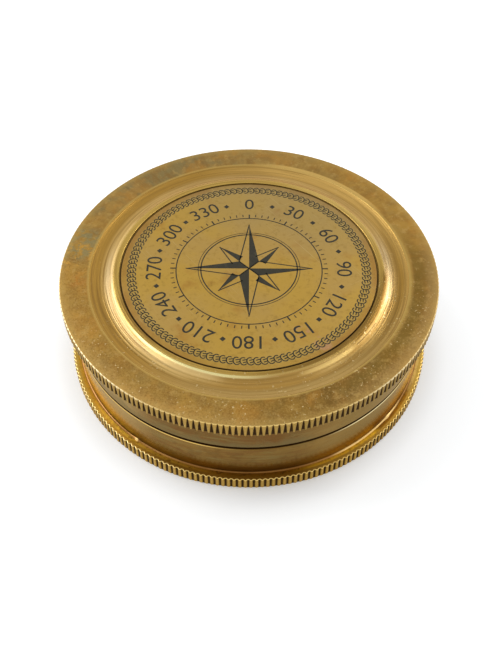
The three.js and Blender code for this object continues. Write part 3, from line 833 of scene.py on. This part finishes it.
def solder_finish():
    """Copper-coloured solder with dull and bright stretches: painted shade at the front and the left, and
    painted highlights at the right-front and on the blob at the front-left.
    """
    f = Finish("copper_solder", Metallic=1.0)
    clouds = f.noise(5, 4.0, 0.6, 51.0)
    grain = f.noise(0.5, 2.0, 0.5, 52.0)
    metal = f.coat(176, 130, 74)
    metal.lay(clouds.between(0.36, 0.66), 150, 106, 56)
    metal.lay(grain.between(0.5, 0.7) * 0.4, 122, 82, 40)
    # Painted shade at the front and the left.
    metal.lay(f.toward(272, 0.93, 0.99) * 0.7, 112, 72, 28)
    metal.lay(f.toward(208, 0.9, 0.99) * 0.5, 150, 108, 68)
    # Painted highlights at the right-front and on the blob at the front-left.
    metal.lay(f.toward(312, 0.955, 0.99), 252, 212, 138)
    metal.lay(f.near(233, wall_radius + 0.3, 0.7).between(0.2, 0.7), 246, 208, 132)
    return f.close(metal, 0.3 + (clouds - 0.5) * 0.2, (grain - 0.5) * 1e-5)


def card_finish():
    """Printed card: cream, browned a little towards its edge, with fine fibres."""
    f = Finish("dial_paper")
    fibre = f.noise(0.25, 3.0, 0.6, 72.0)
    card = f.coat(236, 226, 200)
    card.lay(f.noise(9, 4.0, 0.55, 71.0).between(0.35, 0.7), 226, 212, 178)
    card.lay(f.ring(18, 29) * 0.5, 206, 184, 140)
    card.lay(fibre.between(0.5, 0.8) * 0.2, 196, 178, 142)
    return f.close(card, 0.78 + (fibre - 0.5) * 0.15, (fibre - 0.5) * 8e-6)


def needle_finish():
    """Needle steel: the north arm is heat-blued and the south arm is bright."""
    f = Finish("needle_steel", Metallic=1.0)
    clouds = f.noise(4, 4.0, 0.6, 81.0).between(0.35, 0.7)
    brushed = f.noise(1.0, 3.0, 0.6, 82.0, f.join(f.x / 0.1, f.y / 3, f.z))
    blue = f.coat(38, 52, 104)
    blue.lay(clouds, 58, 66, 128)
    steel = f.coat(196, 198, 198)
    steel.lay(clouds, 170, 172, 174)
    steel.lay(f.y.between(-0.3, 0.3), blue)
    return f.close(steel, 0.24 + (brushed - 0.5) * 0.2, (brushed - 0.5) * 2e-6)


def two_tone(name, first, second, patches, blend, roughness, vary, relief=None, **sockets):
    """A plain finish of two colours in patches (size, detail, roughness, seed) that blend over a range."""
    f = Finish(name, **sockets)
    pattern = f.noise(*patches)
    coat = f.coat(*first)
    coat.lay(pattern.between(*blend), *second)
    height = (pattern - 0.5) * relief if relief else None
    return f.close(coat, roughness + (pattern - 0.5) * vary, height)


def jewel_finish():
    """Polished banded agate."""
    f = Finish("agate_jewel", Coat_Weight=0.4)
    bands = f.lines(f.z, 0.25, 2.0, 111.0)
    agate = f.coat(140, 56, 40)
    agate.lay(bands.between(0.4, 0.65), 186, 110, 84)
    return f.close(agate, 0.15 + (bands - 0.5) * 0.1)


def glass_finish():
    """Clear flat glass with a faint haze; lamps shine through it on to the dial."""
    f = Finish("dial_glass", IOR=1.5, Transmission_Weight=1.0)
    haze = f.noise(6, 4.0, 0.6, 121.0)
    glass = f.coat(248, 252, 250)
    glass.lay(haze, 240, 247, 244)
    f.close(glass, haze.between(0.3, 0.8, 0.01, 0.05))
    rays = f.add("ShaderNodeLightPath").outputs
    passes = f.math("MAXIMUM", Wire(f, rays["Is Shadow Ray"]), Wire(f, rays["Is Diffuse Ray"]))
    clear = f.wire("ShaderNodeBsdfTransparent", 0, {"Color": tint(246, 250, 248)})
    both = f.wire("ShaderNodeMixShader", 0, {0: passes, 1: Wire(f, f.shader.outputs[0]), 2: clear})
    f.feed(f.tree.nodes["Material Output"].inputs["Surface"], both)
    return f.material


# Knurled plates

def cove_points():
    """The cove is one circular arc in section, from its outer edge to its inner one."""
    half = (COVE_OUTER - COVE_INNER) / 2
    arc = (half**2 + COVE_DEPTH**2) / (2 * COVE_DEPTH)
    limit = math.asin(half / arc)
    middle = COVE_INNER + half
    centre = lid_top + arc - COVE_DEPTH
    angles = [limit * (1 - 2 * k / COVE_STEPS) for k in range(1, COVE_STEPS)]
    return [(middle + arc * math.sin(angle), centre - arc * math.cos(angle)) for angle in angles]


def knurled_rim(low, high, rounding, rows, side_wear):
    """Fine rings from a rim's underside, round its lower edge, up its side and over its upper edge."""
    side = steps_between((rim_radius, low), (rim_radius, high), rows)
    corners = [
        (rim_radius - 0.9, low),
        (rim_radius, low, LOWER_EDGE_ROUNDING, 0.2),
        *[(*corner, 0, side_wear) for corner in side],
        (rim_radius, high, rounding, 1.0),
        (rim_radius - 0.6, high),
    ]
    return [(*point, KNURL_STEPS) for point in rounded(corners)]


def plain_rings(*corners):
    """Coarser rings of a plate's plain parts."""
    return [(*point, PLATE_STEPS) for point in rounded(corners)]


def lid_plate(knurl, material):
    boss_under = foot("lid_plate")
    recess_floor = foot("lid_plaque")
    under = plain_rings(
        (0, boss_under),
        (neck_foot_radius, boss_under, 0.15, 0.5),
        (neck_foot_radius, lid_under),
        (rim_radius - 1.3, lid_under),
    )
    rim = knurled_rim(lid_under, lid_top, LID_EDGE_ROUNDING, 9, -0.1)
    face = plain_rings(
        (rim_radius - 1.0, lid_top),
        (rim_radius - 3.0, lid_top),
        (COVE_OUTER, lid_top, 0.4, 0.6),
        *cove_points(),
        (COVE_INNER, lid_top, 0.35, 0.5),
        (RECESS_RADIUS, lid_top, 0.15, 0.3),
        (RECESS_RADIUS, lid_top - 0.3, 0, -0.7),
        (PLAQUE_SEAT, lid_top - 0.36, 0, -0.8),
        (PLAQUE_SEAT, recess_floor, 0, -1.0),
        (plaque_radius - 2, recess_floor, 0, -1.0),
        (0, recess_floor),
    )
    mesh = run_tree(
        knurl, skin(under + rim + face, False), material=material, teeth=RIM_TEETH, rim=rim_radius,
        high=lid_top - LID_GROOVE_RUNOUT, low=lid_under, width_high=0.3, width_low=0.78, spread=1.0,
        depth_high=0.15, depth_low=0.18, crown=CREST_CROWN, edge=1.3, shine=0.05, grime=2.6,
    )
    piece("lid_knurled_plate", mesh, material, "lid", "rim_brass", "lid_plate")


def base_plate(knurl, material):
    stack_foot = top("base_plate")
    pocket_radius = 2.71
    pocket_floor = 1.55
    under = plain_rings((0, 0), (rim_radius - 6, 0), (rim_radius - 1.3, 0))
    rim = knurled_rim(0, wall_foot, BASE_EDGE_ROUNDING, 8, 0.0)
    face = plain_rings(
        (rim_radius - 1.0, wall_foot),
        (wall_radius + 0.4, wall_foot, 0, -0.15),
        (wall_radius, wall_foot, 0, -1.0),
        (stack_radius, wall_foot, 0, -1.0),
        (stack_radius, stack_foot),
        (pocket_radius, stack_foot),
        (pocket_radius, pocket_floor),
        (0, pocket_floor),
    )
    mesh = run_tree(
        knurl, skin(under + rim + face, False), material=material, teeth=RIM_TEETH, rim=rim_radius,
        high=wall_foot, low=0.0, width_high=0.8, width_low=0.56, spread=0.35, depth_high=0.22,
        depth_low=0.08, crown=1.2 * CREST_CROWN, edge=1.6 * BASE_EDGE_ROUNDING, shine=0.15, grime=1.7,
    )
    piece("base_knurled_plate", mesh, material, "case", "rim_brass", "base_plate")


# Tubes of the box

def case_tube(material):
    worn_edge = wall_top - SEAM_CHAMFER
    outline = [
        (TUBE_BORE, wall_foot),
        (wall_radius, wall_foot, 0, -1.0),
        (wall_radius, wall_foot + 0.35, 0, -0.3),
        (wall_radius, wall_foot + 2.2),
        (wall_radius, worn_edge - 0.6),
        (wall_radius, worn_edge, SEAM_EDGE, 0.8),
        # The seam's recess: darkened by dirt and painted shade.
        (wall_radius - 0.12, worn_edge + 0.16, 0, -1.0),
        (wall_radius - 0.3, wall_top, 0, -1.0),
        (TUBE_BORE + 0.5, wall_top),
        (TUBE_BORE, wall_top, 0.1, 0.3),
    ]
    piece("case_tube", turned(outline), material, "case", "wall_brass", "case_wall")


def threaded(thread, outline, material, wall, low, high):
    """A turned mesh with the screw thread on one of its walls."""
    sizes = {"wall": wall, "low": low, "high": high, "pitch": THREAD_PITCH, "height": THREAD_HEIGHT}
    return run_tree(thread, turned(outline), material=material, **sizes)


def lid_tube(thread, material):
    low = skirt_foot + 0.7
    high = lid_under - 1.4
    outline = [
        (TUBE_BORE, skirt_foot, 0.35, 0.3),
        (wall_radius, skirt_foot, SEAM_EDGE, -1.0),
        (wall_radius, skirt_foot + 0.6),
        (wall_radius, lid_under - 0.5, 0, -0.2),
        (wall_radius, lid_under, 0, -1.0),
        (TUBE_BORE, lid_under),
        *steps_between((TUBE_BORE, high), (TUBE_BORE, low), 36),
    ]
    mesh = threaded(thread, outline, material, TUBE_BORE, low, high)
    piece("lid_tube", mesh, material, "lid", "wall_brass", "lid_skirt")


def threaded_neck(thread, material):
    neck_top = top("neck_ring")
    relief_top = wall_top + RELIEF_WIDTH
    low = relief_top + RELIEF_DEPTH
    high = neck_top - NECK_LEAD
    outline = [
        (NECK_BORE, wall_foot),
        (neck_foot_radius, wall_foot),
        (neck_foot_radius, wall_top - 0.2, 0, -1.0),
        (NECK_RADIUS - RELIEF_DEPTH, wall_top, 0, -0.8),
        (NECK_RADIUS - RELIEF_DEPTH, relief_top, 0, -0.4),
        (NECK_RADIUS, low),
        *steps_between((NECK_RADIUS, low), (NECK_RADIUS, high), 30),
        (NECK_RADIUS, high),
        (NECK_RADIUS - NECK_LEAD, neck_top, 0.15, 0.8),
        (NECK_BORE, neck_top, 0.2, 0.8),
        (NECK_BORE, neck_top - 1.9, 0, -0.5),
    ]
    mesh = threaded(thread, outline, material, NECK_RADIUS, low, high)
    piece("threaded_neck", mesh, material, "case", "inner_brass", "neck_ring")


def solder_bead(name, seat, direction, blobs, material, body, node):
    """A run of solder in the corner of tube and plate, a little uneven, with a blob at each bearing given."""
    inner = wall_radius + 0.005
    section = ((0, 0), (1, 0), (0.86, 0.42), (0.62, 0.68), (0.36, 0.88), (0, 1))
    outline = [(inner + SOLDER_LEG * out, seat + direction * SOLDER_LEG * up) for out, up in section]
    mesh = turned(outline[::direction])
    for vertex in mesh.vertices:
        x, y, z = vertex.co
        angle = math.atan2(y, x)
        swell = 0.84 + 0.05 * math.sin(5 * angle + 1) + 0.03 * math.sin(17 * angle) + 0.08 * math.sin(angle)
        for bearing in blobs:
            off = math.remainder(angle - bearing, TURN) / math.radians(1.1)
            swell += 0.55 * math.exp(-off * off)
        radius = inner + (math.hypot(x, y) - inner) * swell
        vertex.co = (*at(radius, angle), seat + (z - seat) * swell)
    piece(name, mesh, material, body, "solder", node)


# Lid plaque and its etched lines

def plaque(material):
    under = foot("lid_plaque")
    outline = [
        (0, under),
        (plaque_radius, under),
        (plaque_radius, plaque_face, 0.18, -1.0),
        (plaque_radius - 1.5, plaque_face),
        (0, plaque_face),
    ]
    piece("lid_etched_plaque", turned(outline, False), material, "lid", "plaque_brass", "lid_plaque")


class Drawing:
    """Flat ink shapes on a face, gathered in one mesh."""

    def __init__(self, level):
        self.shapes = bmesh.new()
        self.high = level + INK_PROUD
        self.low = level + INK_PROUD - INK_DEPTH

    def loop(self, outline, height):
        return [self.shapes.verts.new((x, y, height)) for x, y in outline]

    def area(self, outline):
        """A filled shape of an outline of points, listed anticlockwise."""
        upper = self.loop(outline, self.high)
        lower = self.loop(outline, self.low)
        self.shapes.faces.new(upper)
        self.shapes.faces.new(lower[::-1])
        for i in range(len(outline)):
            self.shapes.faces.new((lower[i - 1], lower[i], upper[i], upper[i - 1]))

    def line(self, start, end, width):
        start = Vector(start)
        end = Vector(end)
        side = (end - start).normalized().orthogonal() * width / 2
        self.area([start - side, end - side, end + side, start + side][::-1])

    def ring(self, inner, outer):
        """A flat ring, one closed band."""
        section = [(inner, self.low), (outer, self.low), (outer, self.high), (inner, self.high)]
        angles = [TURN * i / ROUND_STEPS for i in range(ROUND_STEPS)]
        loops = [self.loop([at(radius, angle) for angle in angles], height) for radius, height in section]
        bands_between(self.shapes, loops)

    def text(self, words, height, radius, bearing):
        """Plain figures or letters, centred on a place, with their heads outward."""
        curve = bpy.data.curves.new("figures", "FONT")
        curve.body = words
        curve.size = height * MM
        curve.align_x = "CENTER"
        curve.align_y = "CENTER"
        curve.resolution_u = 4
        curve.extrude = INK_DEPTH * MM / 2
        mesh = taken_from(linked("figures", curve))
        place = Matrix.Translation((*at(radius, bearing), (self.high + self.low) / 2))
        mesh.transform(place @ Matrix.Rotation(bearing - TURN / 4, 4, "Z") @ Matrix.Scale(1 / MM, 4))
        self.shapes.from_mesh(mesh)
        bpy.data.meshes.remove(mesh)

    def star(self, points, tip, waist, first, line):
        """A star: each point is filled on one side of its ridge and outlined on the other."""
        step = TURN / points
        for k in range(points):
            angle = first + k * step
            ridge = at(tip, angle)
            left = at(waist, angle + step / 2)
            self.area([(0, 0), at(waist, angle - step / 2), ridge])
            self.line(ridge, left, line)
            self.line((0, 0), left, line)

    def mesh(self):
        bmesh.ops.remove_doubles(self.shapes, verts=self.shapes.verts, dist=1e-4)
        bmesh.ops.recalc_face_normals(self.shapes, faces=self.shapes.faces)
        return made_of(self.shapes)


def etched_rose(material):
    drawing = Drawing(plaque_face)
    line = 0.24
    drawing.star(4, 12.8, 2.8, TURN / 4, line)
    for k in range(4):
        angle = TURN / 8 + k * TURN / 4
        drawing.area([at(3.6, angle - 0.42), at(8.6, angle), at(3.0, angle)])
        drawing.line(at(8.6, angle), at(3.6, angle + 0.42), line)
    drawing.ring(9.6, 9.85)
    drawing.ring(10.2, 10.32)
    drawing.ring(14.6, 14.82)
    piece("lid_etched_rose", drawing.mesh(), material, "lid", None)


def etched_numbers(material):
    drawing = Drawing(plaque_face)
    radius = 19.0
    tip = 0.6
    for degrees in range(0, 360, 30):
        bearing = TURN / 4 - math.radians(degrees)
        drawing.text(str(degrees), 4.4, radius, bearing)
        x, y = at(radius, bearing - math.radians(15))
        drawing.area([(x + tip, y), (x, y + tip), (x - tip, y), (x, y - tip)])
    piece("lid_etched_numbers", drawing.mesh(), material, "lid", None)


def inked_ring(name, tree, level, material, body, **sizes):
    """Lines that a tree sets round a face."""
    middle = level + INK_PROUD - INK_DEPTH / 2
    blank = bpy.data.meshes.new(name)
    mesh = run_tree(tree, blank, material=material, ink=INK_DEPTH, level=middle, **sizes)
    piece(name, mesh, material, body, None)


# Inside the case

def dial_card(material):
    under = foot("dial_card")
    hole = 1.1
    outline = [(hole, under), (stack_radius, under), (stack_radius, card_face, 0.05, 0), (hole, card_face)]
    piece("printed_dial", turned(outline), material, "case", "dial_paper", "dial_card")


def dial_print(ink):
    drawing = Drawing(card_face)
    for degrees in range(0, 360, 30):
        if degrees % 90:
            drawing.text(str(degrees), 2.6, 22.0, TURN / 4 - math.radians(degrees))
    for word, quarter in (("N", 1), ("E", 0), ("S", 3), ("W", 2)):
        drawing.text(word, 4.6, 21.2, quarter * TURN / 4)
    drawing.star(8, 11.5, 5.0, TURN / 16, 0.18)
    drawing.star(8, 17.0, 4.6, 0, 0.2)
    drawing.ring(18.2, 18.45)
    drawing.ring(26.4, 26.65)
    piece("dial_rose_and_numbers", drawing.mesh(), ink, "case", None)


def ring_piece(name, node, bore, material, slot, wear):
    """A plain ring with eased corners between the heights of its CAD node."""
    low = foot(node)
    high = top(node)
    outer = reach(node)
    ease = min(0.15, (high - low) / 3)
    foot_ring = [(bore, low, ease, 0), (outer, low, ease, 0)]
    outline = [*foot_ring, (outer, high, ease, wear), (bore, high, ease, wear)]
    piece(name, turned(outline), material, "case", slot, node)


def dial_glass(material):
    low = foot("glass")
    high = top("glass")
    outline = [(0, low), (stack_radius, low, 0.1, 0), (stack_radius, high, 0.25, 0), (0, high)]
    piece("dial_glass", turned(outline, False), material, "case", "glass", "glass")


def glass_ring(material):
    """The ring that holds the glass: a sloped bore and two key slots."""
    low = foot("glass_ring")
    high = top("glass_ring")
    bore = stack_radius - 3.6
    slope = 0.7
    ease = 0.12
    outline = [
        (bore, low),
        (stack_radius, low),
        (stack_radius, high, ease, 0.6),
        (bore + slope, high, ease, 0.8),
        (bore, high - slope, ease, 0.8),
    ]
    carrier = linked("glass_ring_carrier", turned(outline))
    slots = bmesh.new()
    slot_box = Matrix.Translation((0, 0, high)) @ Matrix.Diagonal((3 * stack_radius, 2, 1.6, 1))
    bmesh.ops.create_cube(slots, size=1, matrix=slot_box)
    cutter = linked("key_slot_cutter", made_of(slots))
    cut = carrier.modifiers.new("key_slots", "BOOLEAN")
    cut.operation = "DIFFERENCE"
    cut.solver = "EXACT"
    cut.object = cutter
    mesh = taken_from(carrier)
    bpy.data.objects.remove(cutter)
    piece("glass_holding_ring", mesh, material, "case", "inner_brass", "glass_ring")


def pivot_post(material):
    low = foot("pivot_post")
    high = top("pivot_post")
    flange = reach("pivot_post")
    flange_top = card_face + 0.5
    socket = 0.5
    outline = [
        (0, low),
        (1.0, low, 0.15, 0),
        (1.0, card_face),
        (flange, card_face),
        (flange, flange_top, 0.18, 0.8),
        (1.3, flange_top, 0.2, -0.6),
        (0.8, high, 0.1, 0.7),
        (socket, high, 0.05, 0),
        (socket, high - 1.2),
        (0, high - 1.2),
    ]
    mesh = turned(outline, False, SMALL_STEPS)
    piece("needle_pivot_post", mesh, material, "case", "inner_brass", "pivot_post")


def pivot_pin(material):
    low = foot("pivot_pin")
    high = top("pivot_pin")
    radius = reach("pivot_pin")
    outline = [(0, low), (radius, low, 0.08, 0), (radius, high - 1.2, 0.1, 0), (0, high)]
    piece("needle_pivot_pin", turned(outline, False, SMALL_STEPS), material, "case", "steel", "pivot_pin")


def needle_blade(material):
    """A slim lozenge with eased edges and a low ridge along each arm, pierced for the cap."""
    low = foot("needle_blade")
    high = top("needle_blade")
    half_width = reach("needle_blade")
    half_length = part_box("needle_blade")[1].y / MM
    hole = 1.7
    ease = 0.1
    ridge = 0.35 * ease
    shape = bmesh.new()
    angles = [TURN * i / 32 for i in range(32)]
    inner = [at(hole, angle) for angle in angles]
    edge = []
    for angle in angles:
        x, y = at(1, angle)
        edge.append(at(1 / (abs(x) / half_width + abs(y) / half_length), angle))
    layers = []
    for points, height, shrink in (
        (inner, low, 1),
        (edge, low, 0.985),
        (edge, low + ease, 1),
        (edge, high - 0.8 * ease - ridge, 1),
        (edge, high - ridge, 0.985),
        (inner, high, 1),
    ):
        layers.append([shape.verts.new((x * shrink, y * shrink, height)) for x, y in points])
    bands_between(shape, layers)
    bmesh.ops.recalc_face_normals(shape, faces=shape.faces)
    piece("needle_lozenge", made_of(shape), material, "needle", "needle_steel", "needle_blade")


def needle_cap(material):
    high = top("needle_cap")
    low = foot("needle_cap")
    flange_foot = top("needle_blade")
    flange = reach("needle_cap")
    seat = high - 0.5
    outline = [
        (0, seat),
        (0.9, seat),
        (0.9, foot("needle_jewel")),
        (1.2, low, 0.08, 0),
        (1.6, low, 0.1, 0),
        (1.6, flange_foot),
        (flange, flange_foot),
        (flange, flange_foot + 0.5, 0.2, 0.8),
        (1.5, flange_foot + 0.9, 0.5, -0.3),
        (1.2, high, 0.3, 1.0),
        (0, high),
    ]
    mesh = turned(outline, False, SMALL_STEPS)
    piece("needle_brass_cap", mesh, material, "needle", "inner_brass", "needle_cap")


# Camera, light and floor, in metres

# The photograph's camera, fitted to the rims and rings: place, tilt below the horizon, heading, roll, focal
# length in pixels
CAMERA_PLACE = Vector((0, -119.34, 145.24)) * MM
CAMERA_TILT = math.radians(49.918)
CAMERA_HEADING = math.radians(0.119)
CAMERA_ROLL = math.radians(0.324)
FOCAL_PIXELS = 851.7
PHOTO_HEIGHT = 650
SENSOR = 36
FLOOR_REACH = 3.0
FLOOR_DROP = 0.05 * MM


def photo_camera():
    x, y = at(math.cos(CAMERA_TILT), -TURN / 4 - CAMERA_HEADING)
    back = Vector((x, y, math.sin(CAMERA_TILT)))
    right = Vector((0, 0, 1)).cross(back).normalized()
    turn = Matrix((right, back.cross(right), back)).transposed().to_4x4()
    data = bpy.data.cameras.new("photo_camera")
    data.sensor_width = SENSOR
    data.lens = FOCAL_PIXELS * SENSOR / PHOTO_HEIGHT
    data.clip_start = 1 * MM
    camera = linked("photo_camera", data)
    camera.matrix_world = Matrix.Translation(CAMERA_PLACE) @ turn @ Matrix.Rotation(CAMERA_ROLL, 4, "Z")
    bpy.context.scene.camera = camera


def soft_lamp(name, place, width, height, level):
    """A soft box that faces the compass; level is how bright its face is, where white is 1."""
    data = bpy.data.lights.new(name, "AREA")
    data.shape = "RECTANGLE"
    data.size = width
    data.size_y = height
    data.energy = level * 4 * width * height
    lamp = linked(name, data)
    lamp.location = place
    aim = Vector((0, 0, lid_top * MM / 2)) - Vector(place)
    lamp.rotation_euler = aim.to_track_quat("-Z", "Y").to_euler()


def studio_world():
    """A white room, dimmer overhead."""
    world = bpy.data.worlds.new("studio")
    world.use_nodes = True
    bpy.context.scene.world = world
    nodes = Nodes(world.node_tree)
    height = nodes.split(nodes.wire("ShaderNodeTexCoord", "Generated"))[2]
    level = height.between(0.0, 0.95, 1.0, 0.66)
    nodes.feed(world.node_tree.nodes["Background"].inputs["Color"], nodes.join(level, level, level))


def studio_floor():
    """A plain white floor that keeps the shadow of the compass and fades to the room's white further off. Its
    glow is weaker within 6 mm of the rim, which paints a contact shadow round the base.
    """
    signs = ((-1, -1), (1, -1), (1, 1), (-1, 1))
    corners = [(x * FLOOR_REACH, y * FLOOR_REACH, -FLOOR_DROP) for x, y in signs]
    mesh = bpy.data.meshes.new("studio_floor")
    mesh.from_pydata(corners, [], [(0, 1, 2, 3)])
    floor = linked("studio_floor", mesh)
    material = bpy.data.materials.new("white_floor")
    material.use_nodes = True
    tree = material.node_tree
    tree.nodes.remove(tree.nodes["Principled BSDF"])
    nodes = Nodes(tree)
    plain = nodes.wire("ShaderNodeBsdfDiffuse", 0, {"Color": (0.93, 0.95, 0.965, 1)})
    rays = nodes.add("ShaderNodeLightPath").outputs
    seen = Wire(nodes, rays["Is Camera Ray"])
    for kind in ("Is Glossy Ray", "Is Transmission Ray"):
        seen = nodes.math("MAXIMUM", seen, Wire(nodes, rays[kind]))
    place = nodes.wire("ShaderNodeTexCoord", "Object")
    far = nodes.wire("ShaderNodeVectorMath", "Value", {0: place}, operation="LENGTH")
    rim = rim_radius * MM
    # The glow is weaker close to the rim: a painted contact shadow.
    glow_with_painted_shadow = far.between(rim, rim + 6 * MM, 0.13, 0.25) + far.between(0.12, 0.5, 0.0, 0.09)
    glow = nodes.wire("ShaderNodeEmission", 0, {"Strength": seen * glow_with_painted_shadow})
    both = nodes.wire("ShaderNodeAddShader", 0, {0: plain, 1: glow})
    nodes.feed(tree.nodes["Material Output"].inputs["Surface"], both)
    mesh.materials.append(material)


# The scene

def dress_cad_nodes(inner, jewel):
    """CAD nodes whose own shape is right get their finish here."""
    finishes = {"dial_plate": inner, "pivot_nut": inner, "balance_rider": inner, "needle_jewel": jewel}
    for node, material in finishes.items():
        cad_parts[node].data.materials.clear()
        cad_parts[node].data.materials.append(material)


def main():
    bpy.context.scene.view_settings.view_transform = "Standard"
    photo_camera()
    studio_world()
    studio_floor()
    soft_lamp("left_softbox", (-0.4, 0.16, 0.34), 0.36, 0.44, 2.15)
    soft_lamp("right_softbox", (0.32, 0.22, 0.37), 0.22, 0.26, 2.8)

    knurl = knurl_tree()
    thread = thread_tree()
    ticks = tick_tree()
    inner = inner_finish()
    solder = solder_finish()
    etch = two_tone(
        "etched_black", (40, 37, 22), (64, 59, 38), (1.2, 4.0, 0.6, 61.0), (0.5, 0.75), 0.5, 0.2,
        Specular_IOR_Level=0.3,
    )
    ink = two_tone("dial_ink", (34, 31, 28), (70, 62, 52), (1.5, 4.0, 0.6, 131.0), (0.5, 0.8), 0.7, 0.2)
    cork = two_tone(
        "gasket_cork", (62, 56, 50), (94, 82, 68), (0.5, 4.0, 0.6, 101.0), (0.35, 0.7), 0.85, 0.1, 2e-5
    )
    polished = two_tone(
        "polished_steel", (196, 199, 202), (160, 164, 168), (0.8, 3.0, 0.6, 91.0), (0.4, 0.7), 0.2, 0.15,
        Metallic=1.0,
    )
    case_wall = wall_finish(
        "case_wall_brass", 141.0, (134, 102, 50), (124, 99, 52), wall_foot, (102, 72, 26)
    )
    lid_wall = wall_finish(
        "lid_wall_brass", 151.0, (118, 84, 42), (116, 94, 52), skirt_foot, (114, 98, 62)
    )

    lid_plate(knurl, lid_finish())
    base_plate(knurl, base_finish())
    case_tube(case_wall)
    lid_tube(thread, lid_wall)
    threaded_neck(thread, inner)
    blobs = (math.radians(233), math.radians(320))
    solder_bead("base_solder_run", wall_foot, 1, blobs, solder, "case", "base_solder_bead")
    solder_bead("lid_solder_run", lid_under, -1, (), solder, "lid_bead", "lid_solder_bead")

    plaque(plaque_finish())
    inked_ring(
        "lid_rope_border", rope_tree(), plaque_face, etch, "lid", count=117, radius=23.65, link_height=1.75,
        link_width=1.3, line_width=0.22, lean=math.radians(16),
    )
    etched_rose(etch)
    etched_numbers(etch)
    inked_ring(
        "lid_etched_ticks", ticks, plaque_face, etch, "lid", count=72, group=6, radius=15.9, short=0.7,
        long=1.1, line_width=0.2,
    )

    dial_card(card_finish())
    dial_print(ink)
    inked_ring(
        "dial_degree_ticks", ticks, card_face, ink, "case", count=180, group=5, radius=26.4, short=1.0,
        long=1.9, line_width=0.14,
    )
    spacer_bore = stack_radius - 2.3
    ring_piece("dial_spacer_ring", "spacer_ring", spacer_bore, inner, "inner_brass", 0.6)
    ring_piece("glass_bedding_ring", "glass_gasket", spacer_bore, cork, "gasket", 0)
    dial_glass(glass_finish())
    glass_ring(inner)
    pivot_post(inner)
    pivot_pin(polished)
    needle_blade(needle_finish())
    needle_cap(inner)
    dress_cad_nodes(inner, jewel_finish())


main()
